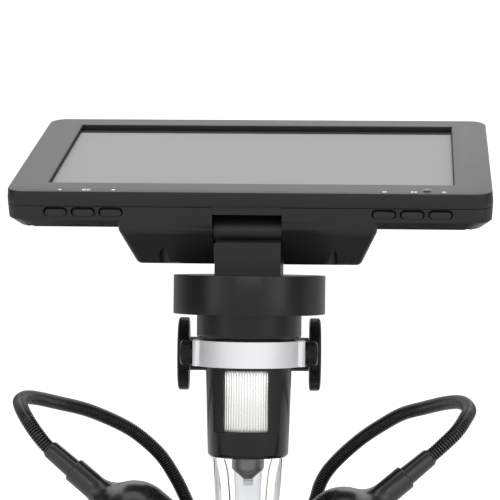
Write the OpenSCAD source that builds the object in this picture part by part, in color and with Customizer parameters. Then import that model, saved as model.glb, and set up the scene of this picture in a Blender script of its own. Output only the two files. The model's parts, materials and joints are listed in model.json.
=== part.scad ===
// LCD digital microscope: a tilting monitor on a clamped microscope barrel,
// a rack and pinion stand, and two gooseneck lamps.
// Frame: +Z up, the optical axis is the Z axis, the ground is z = 0, the user sits at -Y.

/* [Base] */
// Width of the base plate, left to right
base_w = 200; // [170:1:240]
// Depth of the base plate, front to back
base_d = 160; // [156:1:200]
// Thickness of the base plate
base_t = 11; // [10.5:0.5:16]
// Corner radius of the base plate
base_corner_r = 14; // [8:1:20]
// Distance from the optical axis to the front edge of the base
base_front = 66; // [52:1:70]
// Thickness of the rubber pad under the base
pad_t = 1.5; // [1:0.1:3]
// How far the rubber pad stays inside the edge of the base
pad_inset = 1.5; // [0.5:0.1:3]
// Width of the stage plate
stage_w = 120; // [80:1:150]
// Depth of the stage plate
stage_d = 80; // [60:1:84]
// Corner radius of the stage plate
stage_corner_r = 6; // [2:1:14]
// Thickness of the stage plate
stage_t = 4; // [3:0.1:6]
// How far the stage plate stands out of the base
stage_proud = 1; // [0.5:0.1:2]

/* [Column] */
// Distance from the optical axis to the centre of the column
column_y = 47; // [46:0.5:52]
// Width of the column
column_w = 20; // [18:0.5:22]
// Depth of the column
column_d = 16; // [15:0.5:18]
// Height of the column's top above the ground
column_top = 123; // [118:1:124]
// Corner radius of the column
column_corner_r = 2; // [1:0.1:2.5]
// Width of the column's hollow core
core_w = 12; // [8:0.5:13]
// Depth of the column's hollow core
core_d = 8; // [6:0.5:8.5]
// Thickness of the cap on the column
cap_t = 2.5; // [1.5:0.1:3]
// Depth of the plug below the cap
cap_plug = 5; // [3:0.5:10]
// Width of the column's foot
foot_w = 44; // [42:1:52]
// Depth of the column's foot
foot_d = 38; // [37:1:44]
// Height of the column's foot
foot_h = 12; // [8:0.5:20]
// Diameter of the foot's screws
foot_screw_d = 4; // [3:0.5:4.5]

/* [Focus drive] */
// Module of the rack and pinion teeth
gear_module = 0.8; // [0.7:0.05:0.85]
// Number of teeth on the pinion
pinion_teeth = 12; // [11:1:13]
// Width of the rack
rack_w = 6; // [5:0.5:8]
// How far the rack's pitch line stands in front of the column
rack_proud = 1.7; // [1.5:0.1:2.2]
// Depth of the groove that holds the rack
rack_groove = 1.5; // [1:0.1:1.9]
// Height of the rack's lower end above the ground
rack_bottom = 60; // [40:1:70]
// How far the pinion's axis lies below the middle of the ring
pinion_drop = 2; // [1:0.1:3]
// Diameter of the pinion shaft
shaft_d = 5; // [4:0.1:5.5]
// Diameter of the shaft's bushes
bush_d = 8.4; // [7.5:0.1:9.4]
// Length of each bush
bush_len = 6; // [4:0.5:8]
// Diameter of the pinion housing's tube
housing_d = 13.3; // [12.5:0.1:15]
// Width of the pinion housing across both ends
housing_w = 46.8; // [44:0.1:50]
// Diameter of the focus knobs
knob_d = 28.8; // [24:0.1:29.5]
// Thickness of the focus knobs
knob_t = 4.6; // [4:0.1:7]
// Rounding of the focus knobs' outer edge
knob_round = 1.3; // [0.5:0.1:1.8]
// Depth of the shaft's seat in each knob
knob_seat = 3.6; // [2.5:0.1:3.8]
// Height of the focus block
block_h = 30; // [26:1:30]
// Wall of the focus block beside the column
block_wall = 5.4; // [5:0.1:6.5]
// Wall of the focus block behind the column
block_back_wall = 3.2; // [2.5:0.1:6]
// Wall of the focus block in front of the pinion
block_front_wall = 2.2; // [1.8:0.1:2.5]
// Thickness of the ring arm's flange
flange_t = 2.5; // [2:0.1:2.8]
// Width of the ring arm's flange
flange_w = 30; // [28:0.5:31]
// Width of the ring arm
arm_w = 13; // [10:0.5:13.5]
// Distance between the two flange screws
flange_screw_gap = 21; // [20:0.1:22]
// Diameter of the flange screws
flange_screw_d = 3; // [2.5:0.1:3]

/* [Ring] */
// Height of the ring's lower edge above the ground
ring_z = 110.6; // [109.6:0.1:112]
// Height of the ring
ring_h = 9.8; // [9.5:0.1:10.5]
// Outside diameter of the ring
ring_d = 39.5; // [38:0.1:40]
// Width across the ring's two side lugs
lug_span = 42.8; // [42:0.1:44]
// Length of each lug's flat face
lug_len = 12; // [10:0.5:14]
// Diameter of the thumb screws' heads
thumb_d = 9.9; // [8:0.1:9.9]
// Length of the thumb screws' heads
thumb_len = 4.8; // [4:0.1:6]
// Diameter of the thumb screws' threads
thumb_thread_d = 4; // [3:0.1:5]

/* [Head] */
// Turn of the head in the ring, in degrees
head_turn = -3.8; // [-20:0.1:20]
// Diameter of the barrel where the ring clamps it
clamp_d = 33.2; // [32.6:0.1:34]
// Diameter of the barrel below the ring
barrel_top_d = 32.8; // [32.4:0.1:33]
// Diameter of the barrel at its lower end
barrel_low_d = 30.8; // [30.6:0.1:32]
// Length of the barrel below the ring
barrel_len = 34.4; // [34:0.1:38]
// Diameter of the collar above the ring
collar_d = 39.3; // [37:0.1:42]
// Height of the collar
collar_h = 9.6; // [9:0.1:11]
// Rounding of the collar's lower edge
collar_round = 1.6; // [0.5:0.1:1.8]
// Diameter of the hub
hub_d = 57.6; // [54:0.1:60]
// Height of the hub
hub_h = 14.8; // [13:0.1:16]
// Wall of the hub
hub_wall = 2.5; // [2:0.1:3]
// Edge chamfer of the hub
hub_edge = 0.8; // [0.3:0.1:1.2]
// Height of the focus wheel's window
window_h = 23.3; // [20:0.1:23.6]
// Width of the focus wheel's window
window_w = 17.6; // [14:0.1:18]
// Width of the finger scoop around the window
scoop_w = 25.2; // [22:0.1:26]
// Distance from the ring down to the window
window_drop = 2.1; // [1.8:0.1:2.3]
// Diameter of the focus wheel
wheel_d = 27.8; // [27:0.1:28]
// Bore of the focus wheel
wheel_bore_d = 19; // [17.5:0.1:20]
// Number of flutes around the focus wheel
wheel_flutes = 72; // [48:6:84]
// Diameter of the lens carrier
nose_d = 12.6; // [12:0.1:13]
// Diameter of the lens carrier's tip
nose_tip_d = 3.4; // [3:0.1:5]
// Length of the lens carrier's cone
nose_cone = 3.9; // [3:0.1:4.5]
// How far the lens carrier reaches below the barrel
nose_reach = 8.9; // [7:0.1:10]
// Diameter of the objective lens
lens_d = 8; // [6:0.1:9]
// Diameter of the hood at its upper end
hood_top_d = 28.1; // [27.5:0.1:29]
// Diameter of the hood at its lower end
hood_low_d = 26.6; // [26:0.1:28]
// Length of the hood below the barrel
hood_len = 22.2; // [18:0.1:26]
// Bore of the hood at its upper end
hood_bore_top_d = 20.6; // [20.4:0.1:22]
// Bore of the hood at its lower end
hood_bore_low_d = 16.4; // [15:0.1:18]
// Length of the hood's spigot inside the barrel
hood_spigot = 3.8; // [3:0.1:4]
// Diameter of the lighting emitters
led_d = 3; // [2.4:0.1:3.2]
// Number of lighting emitters
led_count = 8; // [4:1:10]

/* [Neck] */
// Width of the neck's post
neck_w = 24; // [20:0.1:24]
// Distance from the hinge axis to the front of the neck's post
neck_front = 11; // [9:0.1:11]
// Distance from the hinge axis to the back of the neck's post
neck_back = 9; // [8:0.1:10]
// Height of the hinge axis above the hub
hinge_rise = 16.7; // [16.5:0.1:20]
// Height of the post's front ledge above the hub
neck_ledge = 12.1; // [11:0.1:12.5]
// Diameter of the hinge knuckle
knuckle_d = 13; // [11:0.1:13]
// Diameter of the hinge pin
pin_d = 4; // [3:0.1:5]
// Length of the hinge pin
pin_len = 39; // [36:0.5:40]
// Diameter of the neck's screws
neck_screw_d = 3; // [2.5:0.1:3]

/* [Monitor] */
// Tilt of the screen from level, in degrees
screen_tilt = 16.7; // [5:0.1:40]
// Thickness of the monitor at its edges
case_t = 13.7; // [13.4:0.1:14.4]
// Corner radius of the monitor
case_corner_r = 7; // [4:0.5:9]
// Wall of the monitor's shells
case_wall = 1.8; // [1.5:0.1:1.9]
// Height of the bezel above the seam
bezel_h = 5.6; // [5.4:0.1:5.7]
// Thickness of the bezel over the screen
bezel_lip = 3.5; // [3.2:0.1:3.6]
// Width of the bezel strip at the left and at the right of the opening
side_strip = 12.35; // [11.5:0.05:14]
// Width of the bezel strip nearest the user
near_strip = 14.2; // [13.8:0.1:15]
// Width of the bezel strip furthest from the user
far_strip = 10; // [9.8:0.1:11]
// Bevel around the screen opening
opening_bevel = 1.7; // [0.8:0.1:2]
// Width of the display panel
panel_w = 165; // [163:0.5:185]
// Depth of the display panel
panel_d = 100; // [99.5:0.5:115]
// How far the bezel covers the panel at its left and right edges
panel_side_lap = 3.35; // [3:0.05:4]
// How far the bezel covers the panel at its near and far edges
panel_end_lap = 4.1; // [3.5:0.1:4.3]
// Thickness of the display panel
panel_t = 2.6; // [2.3:0.1:2.7]
// Thickness of the panel's metal tray
tray_t = 1; // [0.8:0.1:1.1]
// Width of the rear bulge where it leaves the monitor
bulge_w = 98; // [90:0.5:104]
// Width of the rear bulge at its lowest face
bulge_low_w = 83; // [80:0.5:88]
// Thickness of the monitor through the bulge
bulge_t = 30; // [29.4:0.1:30]
// Depth of the rear bulge, near to far
bulge_d = 78; // [74:0.5:84]
// Slope of the bulge's near face, near to far
bulge_rake = 8; // [6:0.1:8]
// Height of the bulge's upright near face below the screen side
bulge_lip = 15.6; // [15:0.1:17]
// Width of the notch for the neck
notch_w = 26.6; // [26.2:0.1:28]
// Depth of the notch for the neck
notch_d = 35; // [32:0.5:37]
// Thickness of the monitor left above the notch
notch_roof = 8.7; // [8.6:0.1:9]
// Distance from the monitor's near edge back to the hinge axis
hinge_u = 8.9; // [8.9:0.1:10]
// Distance from the screen side down to the hinge axis
hinge_w = 17.6; // [17.5:0.1:17.8]
// Width of each button
button_w = 9.4; // [8:0.1:9.6]
// Height of each button
button_h = 3.6; // [3:0.1:3.8]
// Distance between neighbouring buttons
button_pitch = 10.6; // [10.6:0.1:12]
// Distance from the monitor's middle to the centre button of each group
button_group_x = 62; // [61:0.1:64]
// Distance from the screen side down to the middle of the buttons
button_drop = 8; // [7.9:0.05:8.2]
// Travel of each button
button_travel = 0.6; // [0.4:0.1:0.8]
// Diameter of the battery cell
cell_d = 18; // [16:0.1:18]
// Length of the battery cell
cell_len = 65; // [50:0.5:66]

/* [Lamps] */
// Distance from the middle to each lamp arm's socket
arm_x = 21; // [20:0.5:24]
// Gap from the column's foot to the middle of the sockets
arm_gap = 12; // [11:0.5:13]
// Diameter of the lamp arms' sockets
socket_d = 17; // [15:0.5:18]
// Height of the lamp arms' sockets
socket_h = 8; // [6:0.5:10]
// Diameter of the collar's journal in the socket
journal_d = 9; // [8:0.1:11]
// Diameter of the collar's grip above the socket
grip_d = 11; // [9.5:0.1:13]
// Height of the collar's grip
grip_h = 11; // [9:0.5:14]
// Diameter of the gooseneck
goose_d = 5.5; // [5:0.1:6]
// Downward angle of the lamps, in degrees
lamp_pitch = 38; // [35:0.5:42]
// Forward angle of the lamps, in degrees
lamp_yaw = 14; // [0:0.5:18]
// Diameter of the lamp heads
lamp_d = 29.8; // [28:0.1:31]
// Wall of the lamp shells
lamp_wall = 1.8; // [1.5:0.1:2.5]
// Length from the gooseneck's end to the widest part of the lamp
lamp_seam = 43; // [41:0.1:45]
// Length of the lamp's front ring
lamp_ring_len = 8; // [6:0.1:10]
// Widest diameter of the sleeve at the gooseneck's end
sleeve_d = 7.6; // [7:0.1:8.5]
// Length of the sleeve
sleeve_len = 12.2; // [10:0.1:14]
// Diameter of the lamp's neck
lamp_neck_d = 9.6; // [9:0.1:10.5]
// Radius of the hollow curve between the lamp's neck and its dome
lamp_fillet = 8.5; // [7:0.5:9]
// Thickness of the lamp's lens
lamp_lens_t = 2; // [1.5:0.1:3]

/* [Hidden] */
$fn = 96;

eps = 0.01;          // overlap that keeps cuts clean
run_gap = 0.05;      // radial clearance of a turning or sliding fit
part_gap = 0.3;      // clearance between parts that never touch
seat_gap = 0.1;      // end play of a turning part

// base
base_top = pad_t + base_t;
stage_top = base_top + stage_proud;
stage_y = column_y - foot_d / 2 - 2 - stage_d / 2;
base_back = base_d - base_front;

// focus drive
pitch_r = gear_module * pinion_teeth / 2;
tooth_pitch = PI * gear_module;
pressure_angle = 20;
backlash = 0.06;
rack_addendum = 0.6 * gear_module;
rack_dedendum = 1.05 * gear_module;
pinion_tip_r = pitch_r + 0.8 * gear_module;
pinion_root_r = pitch_r - 1.2 * gear_module;
pinion_len = rack_w + 2;
column_front = column_y - column_d / 2;
rack_pitch_y = column_front - rack_proud;
rack_top = column_top - 1;
pinion_y = rack_pitch_y - pitch_r;
pinion_z = ring_z + ring_h / 2 - pinion_drop;
cavity_r = pinion_tip_r + 0.5;
block_front = pinion_y - cavity_r - block_front_wall;
block_back = column_y + column_d / 2 + run_gap + block_back_wall;
block_w = column_w + 2 * (run_gap + block_wall);
block_z = pinion_z - block_h / 2;
knob_inner_x = housing_w / 2 + part_gap;

// ring and head heights
ring_top = ring_z + ring_h;
clamp_r = clamp_d / 2;
collar_z = ring_top + 0.5;
hub_z = collar_z + collar_h;
hub_top = hub_z + hub_h;
barrel_z = ring_z - barrel_len;
window_top = ring_z - window_drop;
window_z = window_top - window_h;
pocket_r = wheel_d / 2 + seat_gap;
scoop_r = pocket_r + 0.9;
spigot_r = hood_bore_top_d / 2 + 3;
led_board_z = barrel_z + hood_spigot;
led_board_t = 1.2;
led_pitch_r = nose_d / 2 + led_d / 2 + 0.55;
board_ledge_z = window_top + 3;
light_gap = 5;
sensor_board_t = 1.6;
upper_bore_r = clamp_r - 2.4;
flange_disc_t = 2.5;
tip_z = barrel_z - nose_reach;
carrier_top = window_top - 3;
thread_z = (window_z + window_top) / 2 - 5;
thread_h = 8;

// hinge and monitor
opening_w = panel_w - 2 * panel_side_lap;
opening_d = panel_d - 2 * panel_end_lap;
case_w = opening_w + 2 * side_strip;
case_d = opening_d + near_strip + far_strip;
panel_u = near_strip + opening_d / 2;
tray_rim = 20;
hinge_z = hub_top + hinge_rise;
knuckle_w = notch_w - 2 * part_gap;
tray_z = bezel_lip + panel_t;
inner_floor = case_t - case_wall;
bulge_shoulder = case_t - 3;
bulge_back_run = 12;
post_x = case_w / 2 - 5.8;
post_u = 6.5;
post_r = 2.8;
front_bore_x = 32.2;
front_bore_u = 4.2;
front_bore_r = 1.8;
roof_wall = 1.2;
case_chamfer_w = 2;
case_chamfer_u = 3;
side_draft = 0.4;
board_z = case_t - case_wall - 0.7;
board_t = 1.6;
board_near = bulge_d - 5;
board_far = case_d - 11;
board_right = case_w / 2 - 61.5;
chip_size = [14, 14, 1.4];
chip_pitch = 30;
chip_margin = 6;
board_post_r = 2;
board_post_margin = 5;
button_proud = button_travel / 2;
status_x = 67.2;
status_r = 1.6;
status_u = near_strip / 2 - 3;
cell_u = notch_d + case_wall + 0.4 + cell_d / 2;
cell_w = bulge_t - case_wall - cell_d / 2;
port_size = [9, 3.2];  // width along the edge, then height
port_gap = 16;
port_len = 6.9;
port_recess = 0.6;
port_shell = 0.5;

// fasteners and small parts
foot_head_r = foot_screw_d * 0.875;
foot_head_h = foot_screw_d;
foot_screw_x = foot_w / 2 - foot_head_r - 2;
foot_screw_y = foot_d / 2 - foot_head_r - 2;
foot_screw_grip = base_t - 3;
flange_screw_z = ring_z + ring_h / 2 + 2.5;
flange_screw_depth = 10;
flange_head_r = 2.75;
neck_screw_x = 7.5;
neck_screw_depth = 9;
neck_head_h = 2.4;
jack_z = pad_t + base_t / 2;
jack_r = 4;
jack_len = 12;
jack_bore_r = 2.75;
jack_bore_len = 9;

// lamps
arm_y = column_y + foot_d / 2 + arm_gap;
goose_r = goose_d / 2;
lamp_r = lamp_d / 2;
lamp_neck_r = lamp_neck_d / 2;
sleeve_taper = 0.3;
fillet_z = lamp_seam - sqrt((lamp_r + lamp_fillet) ^ 2 - (lamp_neck_r + lamp_fillet) ^ 2);
join_z = lamp_seam - (lamp_seam - fillet_z) * lamp_r / (lamp_r + lamp_fillet);
socket_floor = 2;
goose_start = 9.5;
goose_sides = 10;
goose_steps = 2;

// Route of each gooseneck from its socket to its lamp, measured from the middle of the
// socket's base. The last three points belong to the flexing tip.
left_route = [
    [0, 0, goose_start], [0, 0, 19.5], [-1.5, -0.5, 28.5], [-5, -2, 38], [-9.5, -5, 47.5],
    [-15.5, -9, 57], [-24, -15, 65.5], [-32, -21, 71], [-43.5, -31, 77], [-54, -42, 81],
    [-64.5, -58, 84.5], [-67.5, -68, 84], [-66.5, -75, 81.5],
    [-63.5, -81, 77], [-59, -84.6, 71.2], [-54.7, -86, 66.6]
];
right_route = [
    [0, 0, goose_start], [0, 0, 19.5], [2.5, -0.5, 28.5], [6.5, -2, 38], [8.5, -4, 45], [12, -6.5, 51.5],
    [18.5, -11, 59], [26, -16, 66], [34, -22, 72], [41, -28, 76.5], [49, -36, 79.5],
    [57, -48, 82.5], [62, -60, 83.5], [64, -70, 81.5], [62, -77, 78.5],
    [58, -82, 74], [53, -84.6, 69.5], [47.6, -86, 64.9]
];

// ---------- helpers ----------

// Rounded rectangle centred on the origin
module rounded_rect(w, d, r) {
    square([w - 2 * r, d], center = true);
    square([w, d - 2 * r], center = true);
    for (x = [-1, 1], y = [-1, 1])
        translate([x * (w / 2 - r), y * (d / 2 - r)]) circle(r);
}

// Rounded plate whose lower face is at z = 0
module rounded_plate(w, d, h, r) {
    linear_extrude(h) rounded_rect(w, d, r);
}

// Cylinder along X from x0 to x1
module rod_x(x0, x1, r) {
    translate([x0, 0, 0]) rotate([0, 90, 0]) cylinder(h = x1 - x0, r = r);
}

// Cylinder along Y from y0 to y1
module rod_y(y0, y1, r) {
    translate([0, y0, 0]) rotate([-90, 0, 0]) cylinder(h = y1 - y0, r = r);
}

// Box from its two opposite corners
module span_box(low, high) {
    translate(low) cube(high - low);
}

// Puts its children in the frame of the head, which turns in the ring
module on_head() {
    rotate([0, 0, head_turn]) children();
}

// Puts its children in the monitor's frame: x across, y from the near edge to the far
// edge, z = 0 on the screen side and negative below it
module on_monitor() {
    on_head() translate([0, 0, hinge_z]) rotate([screen_tilt, 0, 0])
        translate([0, -hinge_u, hinge_w]) children();
}

// Extrudes a profile drawn as [u, z] across the monitor
module across(w) {
    rotate([90, 0, 90]) translate([0, 0, -w / 2]) linear_extrude(w) children();
}

// Extrudes a profile drawn as [x, z] from the monitor's near edge to depth d
module along(d) {
    translate([0, d, 0]) rotate([90, 0, 0]) linear_extrude(d) children();
}

// ---------- base ----------

module base_plate() {
    color("#202124") difference() {
        translate([0, base_back - base_d / 2, pad_t])
            rounded_plate(base_w, base_d, base_t, base_corner_r);
        translate([0, stage_y, stage_top - stage_t])
            rounded_plate(stage_w, stage_d, stage_t + 1, stage_corner_r);
        foot_screw_places() translate([0, 0, base_top - foot_screw_grip])
            cylinder(h = base_t, r = foot_screw_d / 2);
        translate([0, 0, jack_z]) rod_y(base_back - jack_len, base_back + 1, jack_r);
    }
}

module base_pad() {
    color("#141414") translate([0, base_back - base_d / 2, 0])
        rounded_plate(base_w - 2 * pad_inset, base_d - 2 * pad_inset, pad_t,
            base_corner_r - pad_inset);
}

module stage_plate() {
    color("#f0f0ee") translate([0, stage_y, stage_top - stage_t])
        rounded_plate(stage_w, stage_d, stage_t, stage_corner_r);
}

module arm_sockets() {
    color("#202124") for (s = [-1, 1]) translate([s * arm_x, arm_y, base_top]) difference() {
        cylinder(h = socket_h, r = socket_d / 2);
        translate([0, 0, socket_floor])
            cylinder(h = socket_h, r = journal_d / 2 + run_gap);
    }
}

module lamp_jack() {
    color("#151515") translate([0, 0, jack_z]) difference() {
        rod_y(base_back - jack_len, base_back, jack_r);
        rod_y(base_back - jack_bore_len, base_back + 1, jack_bore_r);
    }
}

// ---------- column ----------

module foot_screw_places() {
    for (x = [-1, 1], y = [-1, 1])
        translate([x * foot_screw_x, column_y + y * foot_screw_y, 0]) children();
}

module column() {
    color("#c9cbce") difference() {
        translate([0, column_y, base_top])
            rounded_plate(column_w, column_d, column_top - base_top, column_corner_r);
        translate([0, column_y, base_top - 1])
            rounded_plate(core_w, core_d, column_top - base_top + 2, 1);
        span_box([-rack_w / 2, column_front - 1, rack_bottom],
            [rack_w / 2, column_front + rack_groove, column_top + 1]);
    }
}

module column_foot() {
    color("#202124") difference() {
        translate([0, column_y, base_top]) rounded_plate(foot_w, foot_d, foot_h, 5);
        translate([0, column_y, base_top - 1])
            rounded_plate(column_w, column_d, foot_h + 2, column_corner_r);
        foot_screw_places() {
            translate([0, 0, base_top - 1]) cylinder(h = foot_h + 2, r = foot_screw_d / 2);
            translate([0, 0, base_top + foot_h - foot_head_h])
                cylinder(h = foot_head_h + 1, r = foot_head_r);
        }
    }
}

module foot_screws() {
    head_z = base_top + foot_h - foot_head_h;
    color("#3a3b3d") foot_screw_places() difference() {
        union() {
            translate([0, 0, base_top - foot_screw_grip])
                cylinder(h = foot_screw_grip + foot_h - 1, r = foot_screw_d / 2);
            translate([0, 0, head_z]) cylinder(h = foot_head_h, r = foot_head_r);
        }
        translate([0, 0, head_z + foot_head_h / 2])
            cylinder(h = foot_head_h, r = foot_screw_d * 0.43, $fn = 6);
    }
}

module column_cap() {
    color("#202124") translate([0, column_y, 0]) {
        translate([0, 0, column_top]) rounded_plate(column_w, column_d, cap_t, column_corner_r);
        translate([0, 0, column_top - cap_plug]) rounded_plate(core_w, core_d, cap_plug + 1, 1);
    }
}

// Outline of one rack tooth as [y, z], pointing to -Y, with its middle at height z
function rack_tooth(z) =
    let (half = tooth_pitch / 4 - backlash,
        tip = half - rack_addendum * tan(pressure_angle),
        root = half + rack_dedendum * tan(pressure_angle),
        tip_y = rack_pitch_y - rack_addendum,
        root_y = rack_pitch_y + rack_dedendum)
    [[root_y, z - root], [tip_y, z - tip], [tip_y, z + tip], [root_y, z + root]];

module rack() {
    root_y = rack_pitch_y + rack_dedendum;
    back_y = column_front + rack_groove;
    first = ceil((rack_bottom - pinion_z) / tooth_pitch);
    last = floor((rack_top - pinion_z) / tooth_pitch) - 1;
    teeth = [for (i = [first : last], k = [0 : 3])
        rack_tooth(pinion_z + (i + 0.5) * tooth_pitch)[k]];
    color("#9a9c9f") across(rack_w) polygon(concat(
        [[root_y, rack_top], [back_y, rack_top], [back_y, rack_bottom], [root_y, rack_bottom]],
        teeth));
}

// ---------- focus drive ----------

module flange_screw_places() {
    for (s = [-1, 1]) translate([s * flange_screw_gap / 2, 0, flange_screw_z]) children();
}

module focus_block() {
    color("#1d1e20") difference() {
        union() {
            span_box([-block_w / 2, block_front, block_z],
                [block_w / 2, block_back, block_z + block_h]);
            translate([0, pinion_y, pinion_z])
                rod_x(-housing_w / 2, housing_w / 2, housing_d / 2);
        }
        translate([0, column_y, block_z - 1])
            rounded_plate(column_w + 2 * run_gap, column_d + 2 * run_gap, block_h + 2,
                column_corner_r);
        span_box([-rack_w / 2 - part_gap, pinion_y, block_z - 1],
            [rack_w / 2 + part_gap, column_y, block_z + block_h + 1]);
        translate([0, pinion_y, pinion_z]) {
            rod_x(-pinion_len / 2 - part_gap, pinion_len / 2 + part_gap, cavity_r);
            rod_x(-housing_w / 2 - 1, housing_w / 2 + 1, shaft_d / 2 + part_gap);
            rod_x(housing_w / 2 - bush_len, housing_w / 2 + 1, bush_d / 2);
            rod_x(-housing_w / 2 - 1, bush_len - housing_w / 2, bush_d / 2);
        }
        flange_screw_places()
            rod_y(block_front - 1, block_front + flange_screw_depth, flange_screw_d / 2);
    }
}

module shaft_bushes() {
    color("#b8924a") translate([0, pinion_y, pinion_z])
        for (x = [-housing_w / 2, housing_w / 2 - bush_len]) difference() {
            rod_x(x, x + bush_len, bush_d / 2);
            rod_x(x - 1, x + bush_len + 1, shaft_d / 2 + run_gap);
        }
}

function involute_angle(a) = (tan(a) - a * PI / 180) * 180 / PI;

// Half of the angle that a pinion tooth takes up at radius r
function tooth_half_angle(r) =
    let (base_r = pitch_r * cos(pressure_angle))
    90 / pinion_teeth - backlash / pitch_r * 180 / PI + involute_angle(pressure_angle)
        - involute_angle(acos(min(1, base_r / r)));

module pinion_profile() {
    radii = [for (i = [0 : 5]) pinion_root_r - 0.3 + (pinion_tip_r - pinion_root_r + 0.3) * i / 5];
    flank = [for (r = radii) [r, tooth_half_angle(r)]];
    circle(pinion_root_r);
    for (i = [0 : pinion_teeth - 1]) rotate(i * 360 / pinion_teeth)
        polygon(concat(
            [for (p = flank) [p[0] * cos(p[1]), -p[0] * sin(p[1])]],
            [for (j = [len(flank) - 1 : -1 : 0])
                [flank[j][0] * cos(flank[j][1]), flank[j][0] * sin(flank[j][1])]]));
}

module pinion_shaft() {
    shaft_end = knob_inner_x + knob_seat;
    color("#b4b6b9") translate([0, pinion_y, pinion_z]) {
        across(pinion_len) pinion_profile();
        rod_x(-shaft_end, shaft_end, shaft_d / 2);
    }
}

// Knob on the shaft's right end; side = -1 mirrors it to the left
module focus_knob(side) {
    r = knob_d / 2;
    k = knob_round;
    color("#17181a") translate([0, pinion_y, pinion_z]) rotate([0, side * 90, 0])
        translate([0, 0, knob_inner_x]) difference() {
            rotate_extrude() {
                square([r - 0.4, knob_t - k]);
                square([r - k, knob_t]);
                translate([0, 0.4]) square([r, knob_t - k - 0.4]);
                translate([r - k, knob_t - k]) intersection() {
                    circle(k);
                    square(k);
                }
            }
            translate([0, 0, -1]) cylinder(h = knob_seat + 1, r = shaft_d / 2);
        }
}

module knob_left() { focus_knob(-1); }
module knob_right() { focus_knob(1); }

// ---------- ring ----------

module ring_holder() {
    flange_y = block_front - flange_t;
    color("#d5d6d8") difference() {
        union() {
            translate([0, 0, ring_z]) cylinder(h = ring_h, r = ring_d / 2);
            span_box([-lug_span / 2, -lug_len / 2, ring_z], [lug_span / 2, lug_len / 2, ring_top]);
            span_box([-arm_w / 2, 0, ring_z], [arm_w / 2, flange_y + eps, ring_top]);
            span_box([-flange_w / 2, flange_y, ring_z], [flange_w / 2, block_front, ring_top]);
        }
        translate([0, 0, ring_z - 1]) cylinder(h = ring_h + 2, r = clamp_r + run_gap);
        translate([0, 0, ring_z + ring_h / 2])
            rod_x(-lug_span, lug_span, thumb_thread_d / 2 + run_gap);
        flange_screw_places() rod_y(flange_y - 1, block_front + 1, flange_screw_d / 2);
    }
}

module flange_screws() {
    flange_y = block_front - flange_t;
    color("#3a3b3d") flange_screw_places() difference() {
        union() {
            rod_y(flange_y - eps, block_front + flange_screw_depth - 1, flange_screw_d / 2);
            rod_y(flange_y - 2, flange_y, flange_head_r);
        }
        translate([0, flange_y - 3, 0]) rotate([-90, 0, 0])
            cylinder(h = 2, r = flange_screw_d * 0.43, $fn = 6);
    }
}

// Thumb screw in the ring's right lug; side = -1 mirrors it to the left
module thumb_screw(side) {
    r = thumb_d / 2;
    k = 1.6;
    head_x = lug_span / 2 + seat_gap;
    color("#191a1c") translate([0, 0, ring_z + ring_h / 2]) rotate([0, side * 90, 0]) {
        translate([0, 0, clamp_r + part_gap])
            cylinder(h = head_x - clamp_r, r = thumb_thread_d / 2);
        translate([0, 0, head_x]) rotate_extrude() {
            square([r, thumb_len - k]);
            square([r - k, thumb_len]);
            translate([r - k, thumb_len - k]) intersection() {
                circle(k);
                square(k);
            }
        }
    }
}

module thumb_screw_left() { thumb_screw(-1); }
module thumb_screw_right() { thumb_screw(1); }

// ---------- head ----------

module hub_shell() {
    r = hub_d / 2;
    color("#232427") on_head() difference() {
        translate([0, 0, hub_z]) rotate_extrude() polygon([
            [0, 0], [r - hub_edge, 0], [r, hub_edge], [r, hub_h - hub_edge],
            [r - hub_edge, hub_h], [0, hub_h]]);
        translate([0, 0, hub_z - 1]) cylinder(h = hub_h - hub_wall + 1, r = r - hub_wall);
        neck_screw_places() translate([0, 0, hub_top - hub_wall - 1])
            cylinder(h = hub_wall + 2, r = neck_screw_d / 2);
    }
}

module barrel_shell() {
    collar_r = collar_d / 2;
    k = collar_round;
    color("#232427") on_head() difference() {
        union() {
            translate([0, 0, hub_z]) cylinder(h = flange_disc_t, r = hub_d / 2 - hub_wall);
            translate([0, 0, collar_z]) rotate_extrude() {
                translate([0, k]) square([collar_r, collar_h - k]);
                square([collar_r - k, collar_h]);
                translate([collar_r - k, k]) circle(k);
            }
            translate([0, 0, ring_z]) cylinder(h = ring_h + 1, r = clamp_r);
            translate([0, 0, barrel_z + 1])
                cylinder(h = barrel_len - 1, r1 = barrel_low_d / 2, r2 = barrel_top_d / 2);
            translate([0, 0, barrel_z])
                cylinder(h = 1 + eps, r1 = barrel_low_d / 2 - 0.8, r2 = barrel_low_d / 2);
        }
        translate([0, 0, barrel_z - 1]) cylinder(h = led_board_z + led_board_t - barrel_z + 1,
            r = spigot_r);
        translate([0, 0, barrel_z])
            cylinder(h = board_ledge_z - barrel_z + eps, r = nose_d / 2 + light_gap);
        translate([0, 0, window_z]) cylinder(h = window_h, r = pocket_r);
        translate([0, 0, board_ledge_z])
            cylinder(h = hub_top - board_ledge_z, r = upper_bore_r);
        intersection() {
            translate([0, 0, window_z]) difference() {
                cylinder(h = window_h, r = collar_r);
                translate([0, 0, -1]) cylinder(h = window_h + 2, r = scoop_r);
            }
            span_box([-scoop_w / 2, -collar_r, window_z], [scoop_w / 2, collar_r, window_top]);
        }
        span_box([-window_w / 2, -collar_r, window_z], [window_w / 2, collar_r, window_top]);
    }
}

module sensor_board() {
    color("#1f5a3a") on_head() {
        translate([0, 0, board_ledge_z]) cylinder(h = sensor_board_t, r = upper_bore_r);
        translate([-4, -4, board_ledge_z - 1.2]) cube([8, 8, 1.2]);
    }
}

module focus_wheel() {
    flute_r = 0.34;
    color("#d9dadc") on_head() translate([0, 0, window_z + seat_gap])
        linear_extrude(window_h - 2 * seat_gap) difference() {
            circle(wheel_d / 2);
            circle(wheel_bore_d / 2);
            for (i = [0 : wheel_flutes - 1]) rotate(i * 360 / wheel_flutes)
                translate([wheel_d / 2 + 0.1, 0]) circle(flute_r);
        }
}

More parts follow.
